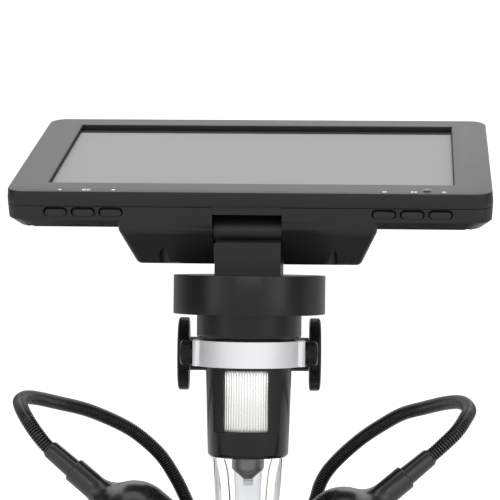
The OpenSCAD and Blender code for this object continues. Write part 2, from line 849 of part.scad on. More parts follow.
module lens_carrier() {
    r = nose_d / 2;
    color("#6d6e70") on_head() difference() {
        union() {
            translate([0, 0, tip_z + nose_cone]) cylinder(h = carrier_top - tip_z - nose_cone, r = r);
            translate([0, 0, tip_z]) cylinder(h = nose_cone, r1 = nose_tip_d / 2, r2 = r);
            translate([0, 0, thread_z]) cylinder(h = thread_h, r = wheel_bore_d / 2 - run_gap);
        }
        translate([0, 0, tip_z - 1]) cylinder(h = 4, r = nose_tip_d / 2 - 0.5);
        translate([0, 0, tip_z + nose_cone]) cylinder(h = carrier_top, r = lens_d / 2);
    }
}

module objective_lens() {
    color("#bcd4e0") on_head() translate([0, 0, tip_z + nose_cone])
        cylinder(h = 2.5, r = lens_d / 2);
}

module led_board() {
    color("#e8e8e6") on_head() translate([0, 0, led_board_z]) difference() {
        cylinder(h = led_board_t, r = spigot_r);
        translate([0, 0, -1]) cylinder(h = led_board_t + 2, r = nose_d / 2 + 0.5);
    }
}

module leds() {
    body_h = 3;
    color("#fff6d8") on_head() for (i = [0 : led_count - 1]) rotate(i * 360 / led_count)
        translate([led_pitch_r, 0, led_board_z - body_h]) {
            cylinder(h = body_h, r = led_d / 2);
            sphere(led_d / 2);
        }
}

module hood() {
    color("#e6eef2", 0.45) on_head() translate([0, 0, barrel_z - hood_len]) difference() {
        union() {
            cylinder(h = hood_len, r1 = hood_low_d / 2, r2 = hood_top_d / 2);
            translate([0, 0, hood_len - eps]) cylinder(h = hood_spigot + eps, r = spigot_r);
        }
        translate([0, 0, -eps])
            cylinder(h = hood_len + 2 * eps, r1 = hood_bore_low_d / 2, r2 = hood_bore_top_d / 2);
        translate([0, 0, hood_len]) cylinder(h = hood_spigot + 1, r = hood_bore_top_d / 2);
    }
}

// ---------- neck ----------

module neck_screw_places() {
    for (s = [-1, 1]) translate([s * neck_screw_x, 0, 0]) children();
}

module neck() {
    color("#26272a") on_head() difference() {
        union() {
            span_box([-neck_w / 2, -neck_front, hub_top],
                [neck_w / 2, neck_back, hub_top + neck_ledge]);
            span_box([-neck_w / 2, -knuckle_d / 2 + 1, hub_top],
                [neck_w / 2, knuckle_d / 2 - 1, hinge_z]);
            translate([0, 0, hinge_z]) rod_x(-knuckle_w / 2, knuckle_w / 2, knuckle_d / 2);
        }
        translate([0, 0, hinge_z]) rod_x(-notch_w, notch_w, pin_d / 2 + run_gap);
        neck_screw_places() translate([0, 0, hub_top - 1])
            cylinder(h = neck_screw_depth + 1, r = neck_screw_d / 2);
    }
}

module neck_screws() {
    under = hub_top - hub_wall;
    color("#3a3b3d") on_head() neck_screw_places() {
        translate([0, 0, under - eps])
            cylinder(h = hub_wall + neck_screw_depth - 0.5, r = neck_screw_d / 2);
        translate([0, 0, under - neck_head_h]) cylinder(h = neck_head_h, r = neck_screw_d * 0.9);
    }
}

// ---------- monitor ----------

// Plan of the monitor, inset from its outline
module case_plan(inset) {
    translate([0, case_d / 2])
        rounded_rect(case_w - 2 * inset, case_d - 2 * inset, case_corner_r - inset);
}

module case_post_places() {
    for (x = [-post_x, post_x], u = [post_u, case_d - post_u]) translate([x, u, 0]) children();
    for (x = [-front_bore_x, front_bore_x]) translate([x, front_bore_u, 0]) children();
}

// Frustum that opens the bezel over the screen, wider at the screen side
module opening_cut() {
    half = opening_w / 2;
    low = near_strip;
    high = near_strip + opening_d;
    b = opening_bevel;
    intersection() {
        across(case_w) polygon([[low + b, -b], [low, 0], [low - 1, 1], [high + 1, 1], [high, 0],
            [high - b, -b], [high - b, -bezel_lip - 1], [low + b, -bezel_lip - 1]]);
        along(case_d) polygon([[b - half, -b], [-half, 0], [-half - 1, 1], [half + 1, 1], [half, 0],
            [half - b, -b], [half - b, -bezel_lip - 1], [b - half, -bezel_lip - 1]]);
    }
}

module bezel() {
    top_edge = 0.8;
    color("#303134") on_monitor() difference() {
        union() {
            difference() {
                intersection() {
                    translate([0, 0, -bezel_h]) linear_extrude(bezel_h) case_plan(0);
                    across(case_w + 2) polygon([[0, -bezel_h - 1], [0, -top_edge], [top_edge, 0],
                        [case_d - top_edge, 0], [case_d, -top_edge], [case_d, -bezel_h - 1]]);
                    along(case_d + 1) polygon([[-case_w / 2, -bezel_h - 1],
                        [-case_w / 2, -top_edge], [top_edge - case_w / 2, 0],
                        [case_w / 2 - top_edge, 0], [case_w / 2, -top_edge],
                        [case_w / 2, -bezel_h - 1]]);
                }
                translate([0, 0, -bezel_h - 1]) linear_extrude(bezel_h - bezel_lip + 1)
                    case_plan(case_wall);
            }
            case_post_places() translate([0, 0, -bezel_h])
                cylinder(h = bezel_h - bezel_lip + eps, r = post_r);
        }
        opening_cut();
        case_post_places() translate([0, 0, -bezel_h - 1]) cylinder(h = 2.5, r = 1);
        translate([status_x, status_u, -bezel_lip - 1]) cylinder(h = bezel_lip + 2, r = status_r);
    }
}

module status_lens() {
    color("#30343a") on_monitor() translate([status_x, status_u, -bezel_lip])
        cylinder(h = bezel_lip + 0.1, r = status_r);
}

module lcd_panel() {
    color("#8d8f94") on_monitor() translate([0, panel_u, -bezel_lip - panel_t])
        rounded_plate(panel_w, panel_d, panel_t, 1);
}

module lcd_tray() {
    color("#b9bbbe") on_monitor() translate([0, panel_u, -tray_z - tray_t]) difference() {
        rounded_plate(panel_w, panel_d, tray_t, 1);
        translate([0, 0, -1])
            rounded_plate(panel_w - 2 * tray_rim, panel_d - 2 * tray_rim, tray_t + 2, 4);
    }
}

// Outer form of the slab below the seam, with a chamfer along its lower edges
module slab_form() {
    half = case_w / 2;
    low = case_t - case_chamfer_w;
    intersection() {
        translate([0, 0, -case_t]) linear_extrude(case_t - bezel_h) case_plan(0);
        across(case_w + 2) polygon([[0, -bezel_h], [0, -low], [case_chamfer_u, -case_t],
            [case_d - case_chamfer_u, -case_t], [case_d, -low], [case_d, -bezel_h]]);
        along(case_d + 1) polygon([[-half, -bezel_h], [side_draft - half, -low],
            [side_draft + case_chamfer_u - half, -case_t],
            [half - side_draft - case_chamfer_u, -case_t], [half - side_draft, -low],
            [half, -bezel_h]]);
    }
}

// Form of the rear bulge, inset from its outer faces
module bulge_form(inset) {
    up = bulge_w / 2 - inset;
    low = bulge_low_w / 2 - inset;
    intersection() {
        across(case_w) polygon([[inset, -bulge_shoulder], [inset, -bulge_lip],
            [bulge_rake + inset, inset - bulge_t],
            [bulge_d - bulge_back_run - inset, inset - bulge_t],
            [bulge_d - inset, -bulge_shoulder]]);
        along(case_d) polygon([[-up, -bulge_shoulder], [-up, -case_t], [-low, inset - bulge_t],
            [low, inset - bulge_t], [up, -case_t], [up, -bulge_shoulder]]);
    }
}

module button_places() {
    for (s = [-1, 1], i = [-1 : 1])
        translate([s * button_group_x + i * button_pitch, 0, -button_drop]) children();
}

module rear_shell() {
    color("#2a2b2e") on_monitor() difference() {
        union() {
            difference() {
                union() {
                    slab_form();
                    bulge_form(0);
                }
                translate([0, 0, -inner_floor]) linear_extrude(case_t) case_plan(case_wall);
                bulge_form(case_wall);
            }
            intersection() {
                union() {
                    slab_form();
                    bulge_form(0);
                }
                union() {
                    span_box([-notch_w / 2 - case_wall, 0, -bulge_t],
                        [notch_w / 2 + case_wall, notch_d + case_wall, roof_wall - notch_roof]);
                    translate([0, hinge_u, -hinge_w])
                        rod_x(-pin_len / 2, pin_len / 2, pin_d / 2 + 3);
                    case_post_places() translate([0, 0, -bulge_t])
                        cylinder(h = bulge_t - bezel_h, r = post_r);
                }
            }
        }
        span_box([-notch_w / 2, -1, -bulge_t - 1], [notch_w / 2, notch_d, -notch_roof]);
        span_box([-notch_w / 2, -1, -notch_roof - 1], [notch_w / 2, 0.5, -bezel_h - 0.3]);
        translate([0, hinge_u, -hinge_w]) rod_x(-pin_len, pin_len, pin_d / 2);
        case_post_places() translate([0, 0, -bulge_t - 1])
            cylinder(h = bulge_t - case_t + 2.5, r = front_bore_r);
        case_post_places() translate([0, 0, -bulge_t]) cylinder(h = bulge_t, r = 1);
        for (x = [-front_bore_x, front_bore_x]) translate([x, front_bore_u, -bulge_t - 1])
            cylinder(h = bulge_t - hinge_w + 1, r = front_bore_r);
        button_places() rotate([-90, 0, 0]) translate([0, 0, -1])
            rounded_plate(button_w + 2 * part_gap, button_h + 2 * part_gap, case_wall + 2,
                button_h / 2);
        port_places() span_box([-case_w, -port_size[0] / 2 - 0.1, -0.1],
            [0, port_size[0] / 2 + 0.1, port_size[1] + 0.1]);
    }
}

// Screw with its head down; the head rests on z = 0 and the shank rises to z = len
module case_screw(len) {
    translate([0, 0, -1.2]) cylinder(h = 1.2, r = front_bore_r - 0.1);
    translate([0, 0, -eps]) cylinder(h = len + eps, r = 1);
}

module case_screws() {
    color("#8f9194") on_monitor() {
        for (x = [-post_x, post_x], u = [post_u, case_d - post_u])
            translate([x, u, 1.5 - case_t]) case_screw(case_t - bezel_h - 0.5);
        for (x = [-front_bore_x, front_bore_x])
            translate([x, front_bore_u, -hinge_w]) case_screw(hinge_w - bezel_h + 1);
    }
}

module main_board() {
    color("#1f5a3a") on_monitor() {
        span_box([-case_w / 2 + case_wall + 0.6, board_near, -board_z],
            [board_right, board_far, board_t - board_z]);
        for (i = [1 : 3])
            translate([board_right - i * chip_pitch, board_near + chip_margin, board_t - board_z])
                cube(chip_size);
        for (x = [chip_pitch / 2 - case_w / 2, board_right - 2 * board_post_margin])
            translate([x, board_far - board_post_margin, -inner_floor])
                cylinder(h = inner_floor - board_z + eps, r = board_post_r);
    }
}

// Places of the connector shells on the monitor's left side
module port_places() {
    for (i = [0, 1])
        translate([port_recess + port_len - case_w / 2, board_near + port_gap * (i + 0.5),
            board_t - board_z]) children();
}

module ports() {
    half = port_size[0] / 2;
    k = port_shell;
    color("#b9bbbe") on_monitor() port_places() difference() {
        span_box([-port_len, -half, 0], [0, half, port_size[1]]);
        span_box([-port_len - 1, k - half, k], [-1, half - k, port_size[1] - k]);
    }
}

module battery() {
    color("#3f6fa8") on_monitor() translate([0, cell_u, -cell_w])
        rod_x(-cell_len / 2, cell_len / 2, cell_d / 2);
}

module hinge_pin() {
    color("#b4b6b9") on_monitor() translate([0, hinge_u, -hinge_w])
        rod_x(-pin_len / 2, pin_len / 2, pin_d / 2);
}

// Button at place i = -1, 0 or 1 of the group on one side
module button(side, i) {
    back_t = 1;
    color("#2c2d30") on_monitor()
        translate([side * button_group_x + i * button_pitch, 0, -button_drop])
            rotate([-90, 0, 0]) {
                translate([0, 0, -button_proud]) rounded_plate(button_w, button_h,
                    button_proud + case_wall + seat_gap + back_t, button_h / 2 - 0.2);
                translate([0, 0, case_wall + seat_gap])
                    rounded_plate(button_w + 1, button_h + 1, back_t, button_h / 2);
            }
}

module button_up() { button(-1, -1); }
module button_ok() { button(-1, 0); }
module button_down() { button(-1, 1); }
module button_mode() { button(1, -1); }
module button_menu() { button(1, 0); }
module button_power() { button(1, 1); }

// ---------- lamps ----------

// Puts its children at the left or right lamp arm's socket, on top of the base
module at_socket(side) {
    translate([side * arm_x, arm_y, base_top]) children();
}

module arm_collar(side) {
    color("#26272a") at_socket(side) difference() {
        union() {
            translate([0, 0, socket_floor])
                cylinder(h = socket_h - socket_floor + seat_gap + eps, r = journal_d / 2);
            translate([0, 0, socket_h + seat_gap]) cylinder(h = grip_h - 2, r = grip_d / 2);
            translate([0, 0, socket_h + seat_gap + grip_h - 2 - eps])
                cylinder(h = 2, r1 = grip_d / 2, r2 = goose_r + 1);
        }
        translate([0, 0, goose_start])
            cylinder(h = grip_h + socket_h, r = goose_r + part_gap);
    }
}

module arm_collar_left() { arm_collar(-1); }
module arm_collar_right() { arm_collar(1); }

// Point on a smooth curve between p1 and p2
function curve_point(p0, p1, p2, p3, t) = 0.5 * (2 * p1 + (p2 - p0) * t
    + (2 * p0 - 5 * p1 + 4 * p2 - p3) * t * t + (3 * p1 - p0 - 3 * p2 + p3) * t * t * t);

// Smooth curve through the route's points
function smooth_route(route) =
    let (n = len(route) - 1)
    concat([for (i = [0 : n - 1], k = [0 : goose_steps - 1])
        curve_point(route[max(i - 1, 0)], route[i], route[i + 1], route[min(i + 2, n)],
            k / goose_steps)], [route[n]]);

function unit(v) = v / norm(v);

// Turn of a lamp about Z; its light points away from the gooseneck's end
function lamp_heading(side) = side < 0 ? -lamp_yaw : 180 + lamp_yaw;

// Direction in which a lamp's light points
function lamp_axis(side) =
    let (b = 90 + lamp_pitch, c = lamp_heading(side))
    [sin(b) * cos(c), sin(b) * sin(c), cos(b)];

// Direction of the curve at each of its points; the last one is square to the lamp
function tangents(points, end) =
    let (n = len(points) - 1)
    [for (i = [0 : n]) i == n ? end : unit(points[i + 1] - points[max(i - 1, 0)])];

// One normal for each point, turned as little as possible from point to point
function normals(t, i = 0, last = [1, 0, 0]) = i == len(t) ? [] :
    let (n = unit(last - (last * t[i]) * t[i])) concat([n], normals(t, i + 1, n));

// Tube around points first to last of a lamp arm's curve
module tube(side, points, first, last) {
    t = tangents(points, lamp_axis(side));
    n = normals(t);
    rings = last - first;
    sides = goose_sides;
    corners = [for (i = [first : last], k = [0 : sides - 1])
        points[i] + goose_r * (cos(k * 360 / sides) * n[i]
            + sin(k * 360 / sides) * cross(t[i], n[i]))];
    walls = [for (i = [0 : rings - 1], k = [0 : sides - 1])
        [i * sides + k, (i + 1) * sides + k, (i + 1) * sides + (k + 1) % sides,
            i * sides + (k + 1) % sides]];
    polyhedron(corners, concat(walls, [[for (k = [0 : sides - 1]) k]],
        [[for (k = [sides - 1 : -1 : 0]) rings * sides + k]]), convexity = 6);
}

module gooseneck(side, route) {
    points = smooth_route(route);
    color("#1b1c1e") at_socket(side)
        tube(side, points, 0, len(points) - 1 - 2 * goose_steps);
}

module gooseneck_tip(side, route) {
    points = smooth_route(route);
    color("#1b1c1e") at_socket(side)
        tube(side, points, len(points) - 1 - 2 * goose_steps, len(points) - 1);
}

module gooseneck_left() { gooseneck(-1, left_route); }
module gooseneck_right() { gooseneck(1, right_route); }
module gooseneck_tip_left() { gooseneck_tip(-1, left_route); }
module gooseneck_tip_right() { gooseneck_tip(1, right_route); }

// Puts its children in a lamp's frame: the origin at the gooseneck's end, +Z to the light
module on_lamp(side, route) {
    at_socket(side) translate(route[len(route) - 1])
        rotate([0, 90 + lamp_pitch, lamp_heading(side)]) children();
}

module lamp_shell(side, route) {
    color("#1e1f21") on_lamp(side, route) difference() {
        union() {
            cylinder(h = sleeve_len + eps, r1 = sleeve_d / 2 - sleeve_taper, r2 = sleeve_d / 2);
            translate([0, 0, sleeve_len]) cylinder(h = fillet_z - sleeve_len + eps, r = lamp_neck_r);
            rotate_extrude() difference() {
                translate([0, fillet_z]) square([lamp_neck_r + lamp_fillet, join_z - fillet_z]);
                translate([lamp_neck_r + lamp_fillet, fillet_z]) circle(lamp_fillet);
            }
            translate([0, 0, lamp_seam]) intersection() {
                sphere(lamp_r);
                translate([0, 0, -lamp_r]) cube(2 * [lamp_r, lamp_r, lamp_r], center = true);
            }
        }
        translate([0, 0, lamp_seam]) sphere(lamp_r - lamp_wall);
    }
}

module lamp_ring(side, route) {
    color("#1e1f21") on_lamp(side, route) translate([0, 0, lamp_seam]) difference() {
        cylinder(h = lamp_ring_len, r = lamp_r);
        translate([0, 0, -1]) cylinder(h = lamp_ring_len + 2, r = lamp_r - lamp_wall);
    }
}

module lamp_lens(side, route) {
    color("#f4f4ee", 0.7) on_lamp(side, route)
        translate([0, 0, lamp_seam + lamp_ring_len - lamp_lens_t - 0.5])
            cylinder(h = lamp_lens_t, r = lamp_r - lamp_wall);
}

module lamp_led(side, route) {
    disc_t = 1.6;
    color("#f2e6b0") on_lamp(side, route) translate([0, 0, lamp_seam]) {
        cylinder(h = disc_t, r = lamp_r - lamp_wall);
        translate([0, 0, disc_t - eps]) cylinder(h = 1, r = 4);
    }
}

module lamp_shell_left() { lamp_shell(-1, left_route); }
module lamp_shell_right() { lamp_shell(1, right_route); }
module lamp_ring_left() { lamp_ring(-1, left_route); }
module lamp_ring_right() { lamp_ring(1, right_route); }
module lamp_lens_left() { lamp_lens(-1, left_route); }
module lamp_lens_right() { lamp_lens(1, right_route); }
module lamp_led_left() { lamp_led(-1, left_route); }
module lamp_led_right() { lamp_led(1, right_route); }

// ---------- nodes ----------

base_plate();
base_pad();
stage_plate();
column();
column_foot();
column_cap();
rack();
foot_screws();
arm_sockets();
lamp_jack();
focus_block();
ring_holder();
flange_screws();
shaft_bushes();
pinion_shaft();
knob_left();
knob_right();
thumb_screw_left();
thumb_screw_right();
hub_shell();
barrel_shell();
led_board();
leds();
hood();
sensor_board();
neck();
neck_screws();
focus_wheel();
lens_carrier();
objective_lens();
bezel();
rear_shell();
lcd_panel();
lcd_tray();
main_board();
battery();
hinge_pin();
status_lens();
case_screws();
ports();
button_up();
button_ok();
button_down();
button_mode();
button_menu();
button_power();
arm_collar_left();
arm_collar_right();
gooseneck_left();
gooseneck_right();
gooseneck_tip_left();
gooseneck_tip_right();
lamp_shell_left();
lamp_shell_right();
lamp_ring_left();
lamp_ring_right();
lamp_lens_left();
lamp_lens_right();
lamp_led_left();
lamp_led_right();
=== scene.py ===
"""Looks of the LCD digital microscope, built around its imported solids.

Every piece is modelled in millimetres in the frame of the sub-assembly that it belongs to, is
moved to its place, and is then shrunk to metres when it is handed to the frame.
"""

from __future__ import annotations

import json
import logging
import math
from contextlib import contextmanager
from dataclasses import dataclass, field
from enum import Enum
from typing import Callable, Iterable, Iterator, Sequence

import bmesh
import bpy
from mathutils import Matrix, Vector

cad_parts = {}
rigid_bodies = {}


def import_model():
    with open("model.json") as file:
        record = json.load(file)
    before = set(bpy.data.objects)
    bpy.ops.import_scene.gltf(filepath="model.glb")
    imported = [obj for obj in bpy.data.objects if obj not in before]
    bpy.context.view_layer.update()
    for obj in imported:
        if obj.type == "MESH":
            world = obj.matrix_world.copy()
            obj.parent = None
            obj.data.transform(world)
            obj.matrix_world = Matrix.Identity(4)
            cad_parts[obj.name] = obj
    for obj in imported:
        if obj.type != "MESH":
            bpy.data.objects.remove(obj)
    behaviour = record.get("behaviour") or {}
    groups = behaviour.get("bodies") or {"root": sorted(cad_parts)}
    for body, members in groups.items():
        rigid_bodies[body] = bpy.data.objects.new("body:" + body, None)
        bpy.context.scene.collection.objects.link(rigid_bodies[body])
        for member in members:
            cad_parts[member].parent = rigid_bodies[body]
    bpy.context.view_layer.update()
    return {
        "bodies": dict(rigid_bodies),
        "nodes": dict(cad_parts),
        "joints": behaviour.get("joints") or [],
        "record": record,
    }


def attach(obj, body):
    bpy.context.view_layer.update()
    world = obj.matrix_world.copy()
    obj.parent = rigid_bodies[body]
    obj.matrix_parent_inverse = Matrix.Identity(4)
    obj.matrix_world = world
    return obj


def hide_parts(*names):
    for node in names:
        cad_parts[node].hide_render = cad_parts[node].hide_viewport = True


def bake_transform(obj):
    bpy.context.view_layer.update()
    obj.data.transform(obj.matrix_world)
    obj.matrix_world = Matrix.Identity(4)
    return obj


log = logging.getLogger("microscope")

MM = 0.001
NEAR = 1e-3
SMOOTH_DEG = 38.0
SHARP_DEG = 34.0
FLAT_DEG = 0.6
EASE_SHARE = 0.49

Point = Sequence[float]
Colour = tuple[float, float, float]


class Axis(Enum):
    """Axis that an edge runs along or lies across, as the index of its coordinate."""

    Y = 1
    Z = 2


class Part(Enum):
    """Kind of mesh element, as edit mode writes it."""

    VERT = "VERT"
    EDGE = "EDGE"
    FACE = "FACE"


class Join(Enum):
    """What becomes of two solids, as the Boolean modifier writes it."""

    CUT = "DIFFERENCE"
    UNITE = "UNION"


class Side(Enum):
    """Left or right of the instrument, as the sign of X."""

    LEFT = -1
    RIGHT = 1

    @property
    def word(self) -> str:
        """Name of the side as the nodes write it."""
        return self.name.lower()


# ---------- modelling ----------


def pick(*objs: bpy.types.Object) -> None:
    """Selects only the given objects and makes the last one active.

    Args:
        objs: Objects to select.
    """
    bpy.ops.object.select_all(action="DESELECT")
    for obj in objs:
        obj.select_set(True)
        bpy.context.view_layer.objects.active = obj


@contextmanager
def editing(obj: bpy.types.Object, kind: Part = Part.FACE) -> Iterator[None]:
    """Opens a mesh in edit mode with all of it selected, and closes it at the end.

    Args:
        obj: Mesh object to edit.
        kind: What is selected.

    Yields:
        Nothing; the mesh is in edit mode meanwhile.
    """
    pick(obj)
    bpy.ops.object.mode_set(mode="EDIT")
    bpy.ops.mesh.select_mode(type=kind.value)
    bpy.ops.mesh.select_all(action="SELECT")
    yield
    bpy.ops.object.mode_set(mode="OBJECT")


def mark(kind: Part, test: Callable[..., bool]) -> None:
    """Selects the edges or faces of the mesh in edit mode that pass a test.

    Args:
        kind: EDGE or FACE.
        test: Takes one element and tells whether it is selected.
    """
    bpy.ops.mesh.select_mode(type=kind.value)
    bpy.ops.mesh.select_all(action="DESELECT")
    data = bpy.context.object.data
    mesh = bmesh.from_edit_mesh(data)
    for item in mesh.faces if kind is Part.FACE else mesh.edges:
        if test(item):
            item.select_set(True)
    mesh.select_flush_mode()
    bmesh.update_edit_mesh(data)


def runs_along(edge: bmesh.types.BMEdge, axis: Axis) -> bool:
    """Tells whether an edge is parallel to an axis."""
    run = edge.verts[1].co - edge.verts[0].co
    return run.length > 0 and abs(run.normalized()[axis.value]) > 1 - NEAR


def climbs(edge: bmesh.types.BMEdge) -> bool:
    """Tells whether an edge rises by more than a millimetre."""
    return abs((edge.verts[0].co - edge.verts[1].co).z) > 1


def lies_at(edge: bmesh.types.BMEdge, axis: Axis, value: float) -> bool:
    """Tells whether both ends of an edge have the given coordinate."""
    return all(abs(v.co[axis.value] - value) < NEAR for v in edge.verts)


def fresh(name: str) -> bpy.types.Object:
    """Names the object that an operator has just added.

    Args:
        name: Its name.

    Returns:
        The object, with its place and size in its mesh.
    """
    obj = bpy.context.object
    obj.name = name
    bpy.ops.object.transform_apply(location=True, rotation=True, scale=True)
    return obj


def seat(obj: bpy.types.Object, matrix: Matrix) -> bpy.types.Object:
    """Moves an object by a matrix and writes the move into its mesh.

    Args:
        obj: Object to move.
        matrix: The move.

    Returns:
        The same object.
    """
    pick(obj)
    obj.matrix_world = matrix @ obj.matrix_world
    bpy.ops.object.transform_apply(location=True, rotation=True, scale=True)
    return obj


def box(name: str, low: Point, high: Point) -> bpy.types.Object:
    """Adds a block between two opposite corners.

    Args:
        name: Name of the object.
        low: Its lowest corner.
        high: Its highest corner.

    Returns:
        The block.
    """
    a, b = Vector(low), Vector(high)
    bpy.ops.object.select_all(action="DESELECT")
    bpy.ops.mesh.primitive_cube_add(size=1, location=(a + b) / 2, scale=b - a)
    return fresh(name)


def rod(name: str, start: Point, end: Point, radius: float, sides: int = 64,
        end_radius: float | None = None) -> bpy.types.Object:
    """Adds a round bar between two points.

    Args:
        name: Name of the object.
        start: Middle of its first end.
        end: Middle of its second end.
        radius: Its radius at the first end.
        sides: Number of its flat sides.
        end_radius: Its radius at the second end, if that differs.

    Returns:
        The bar.
    """
    a, b = Vector(start), Vector(end)
    bpy.ops.object.select_all(action="DESELECT")
    bpy.ops.mesh.primitive_cone_add(vertices=sides, radius1=radius, depth=(b - a).length,
                                    radius2=radius if end_radius is None else end_radius)
    obj = fresh(name)
    turn = (b - a).to_track_quat("Z", "Y").to_matrix().to_4x4()
    return seat(obj, Matrix.Translation((a + b) / 2) @ turn)


def loft(name: str, sections: Sequence[Point]) -> bpy.types.Object:
    """Builds a block whose rectangular sections change along Z.

    Args:
        name: Name of the object.
        sections: Each section as x0, x1, y0, y1, z.

    Returns:
        The block, with outward faces.
    """
    x0, x1, y0, y1, z = sections[0]
    bpy.ops.object.select_all(action="DESELECT")
    bpy.ops.mesh.primitive_plane_add(size=1, location=((x0 + x1) / 2, (y0 + y1) / 2, z))
    bpy.context.object.scale = (x1 - x0, y1 - y0, 1)
    obj = fresh(name)
    with editing(obj):
        for a, b in zip(sections, sections[1:]):
            middle = ((b[0] + b[1]) / 2, (b[2] + b[3]) / 2, b[4])
            shift = (middle[0] - (a[0] + a[1]) / 2, middle[1] - (a[2] + a[3]) / 2, b[4] - a[4])
            bpy.ops.mesh.extrude_region_move(TRANSFORM_OT_translate={"value": shift})
            bpy.ops.transform.resize(value=((b[1] - b[0]) / (a[1] - a[0]),
                                            (b[3] - b[2]) / (a[3] - a[2]), 1),
                                     center_override=middle)
        bpy.ops.mesh.select_all(action="SELECT")
        bpy.ops.mesh.normals_make_consistent(inside=False)
    return obj


def eased(profile: Sequence[Point], steps: int = 4) -> list[Vector]:
    """Rounds the corners of a profile that give a third number, their setback.

    Args:
        profile: Points as r, z or r, z, setback.
        steps: Number of straight pieces in each rounded corner.

    Returns:
        The points of the eased profile.
    """
    made: list[Vector] = []
    for i, point in enumerate(profile):
        corner = Vector(point[:2])
        if len(point) < 3 or i in (0, len(profile) - 1):
            made.append(corner)
            continue
        back, ahead = Vector(profile[i - 1][:2]) - corner, Vector(profile[i + 1][:2]) - corner
        start = corner + back.normalized() * min(point[2], EASE_SHARE * back.length)
        end = corner + ahead.normalized() * min(point[2], EASE_SHARE * ahead.length)
        for k in range(steps + 1):
            t = k / steps
            made.append((1 - t) ** 2 * start + 2 * t * (1 - t) * corner + t * t * end)
    return made


def lathe(name: str, profile: Sequence[Point], steps: int = 96) -> bpy.types.Object:
    """Turns a profile about Z.

    Args:
        name: Name of the object.
        profile: Points as r, z or r, z, setback; it ends on the axis or where it starts.
        steps: Number of flat sides.

    Returns:
        The turned shape, with outward faces.
    """
    points = eased(profile)
    bpy.ops.object.select_all(action="DESELECT")
    bpy.ops.mesh.primitive_plane_add(size=1)
    obj = fresh(name)
    with editing(obj, Part.VERT):
        bpy.ops.mesh.merge(type="CENTER")
        bpy.ops.transform.translate(value=(points[0].x, 0, points[0].y))
        for a, b in zip(points, points[1:]):
            bpy.ops.mesh.extrude_region_move(
                TRANSFORM_OT_translate={"value": (b.x - a.x, 0, b.y - a.y)})
        bpy.ops.mesh.select_all(action="SELECT")
        bpy.ops.mesh.spin(steps=steps, angle=math.tau, center=(0, 0, 0), axis=(0, 0, 1))
        bpy.ops.mesh.select_all(action="SELECT")
        bpy.ops.mesh.remove_doubles(threshold=NEAR / 10)
        bpy.ops.mesh.normals_make_consistent(inside=False)
    smooth(obj)
    return obj


def smooth(obj: bpy.types.Object) -> None:
    """Shades a mesh smooth except across its sharp edges."""
    pick(obj)
    bpy.ops.object.shade_smooth_by_angle(angle=math.radians(SMOOTH_DEG))


def bevel(obj: bpy.types.Object, width: float, segments: int,
          test: Callable[[bmesh.types.BMEdge], bool]) -> bpy.types.Object:
    """Rounds the edges that pass a test.

    Args:
        obj: Mesh object.
        width: Width of the rounding.
        segments: Number of its flat pieces.
        test: Takes an edge and tells whether it is rounded.

    Returns:
        The same object.
    """
    with editing(obj, Part.EDGE):
        mark(Part.EDGE, test)
        bpy.ops.mesh.bevel(offset=width, segments=segments, affect="EDGES")
    return obj


def soften(obj: bpy.types.Object, width: float, segments: int = 2,
           sharp_deg: float = SHARP_DEG) -> bpy.types.Object:
    """Rounds every sharp edge with the Bevel modifier and shades the mesh.

    Args:
        obj: Mesh object.
        width: Width of the rounding.
        segments: Number of its flat pieces.
        sharp_deg: Angle from which an edge is sharp.

    Returns:
        The same object.
    """
    pick(obj)
    rounding = obj.modifiers.new("rounding", "BEVEL")
    rounding.width = width
    rounding.segments = segments
    rounding.limit_method = "ANGLE"
    rounding.angle_limit = math.radians(sharp_deg)
    rounding.harden_normals = True
    smooth(obj)
    bpy.ops.object.modifier_apply(modifier=rounding.name)
    return obj


def joined(objs: Sequence[bpy.types.Object]) -> bpy.types.Object:
    """Joins objects into the first one.

    Args:
        objs: Mesh objects.

    Returns:
        The first object, which now holds them all.
    """
    pick(*objs)
    bpy.context.view_layer.objects.active = objs[0]
    bpy.ops.object.join()
    return objs[0]


def combine(obj: bpy.types.Object, others: Sequence[bpy.types.Object],
            how: Join = Join.CUT) -> bpy.types.Object:
    """Cuts others out of an object, or unites it with them.

    Args:
        obj: Mesh object that stays.
        others: Mesh objects that are used up; they don't cross each other.
        how: What becomes of both.

    Returns:
        The first object.
    """
    tool = joined(list(others))
    pick(obj)
    step = obj.modifiers.new("step", "BOOLEAN")
    step.operation = how.value
    step.solver = "EXACT"
    step.object = tool
    bpy.ops.object.modifier_apply(modifier=step.name)
    bpy.data.objects.remove(tool, do_unlink=True)
    with editing(obj, Part.VERT):
        bpy.ops.mesh.remove_doubles(threshold=NEAR)
        bpy.ops.mesh.select_all(action="SELECT")
        bpy.ops.mesh.dissolve_degenerate(threshold=NEAR)
    return obj


def repeated(obj: bpy.types.Object, places: Iterable[Matrix]) -> bpy.types.Object:
    """Copies a mesh to several places and joins the copies.

    Args:
        obj: Mesh object, used up.
        places: Where each copy goes.

    Returns:
        One object with all the copies, named as the first.
    """
    name = obj.name
    copies = []
    for place in places:
        pick(obj)
        bpy.ops.object.duplicate()
        copies.append(seat(bpy.context.object, place))
    bpy.data.objects.remove(obj, do_unlink=True)
    made = joined(copies)
    made.name = name
    return made


def ring_of(count: int, radius: float = 0.0) -> list[Matrix]:
    """Places around Z.

    Args:
        count: Number of places.
        radius: Distance of each place from the axis.

    Returns:
        One matrix for each place.
    """
    return [Matrix.Rotation(math.tau * i / count, 4, "Z") @ Matrix.Translation((radius, 0, 0))
            for i in range(count)]


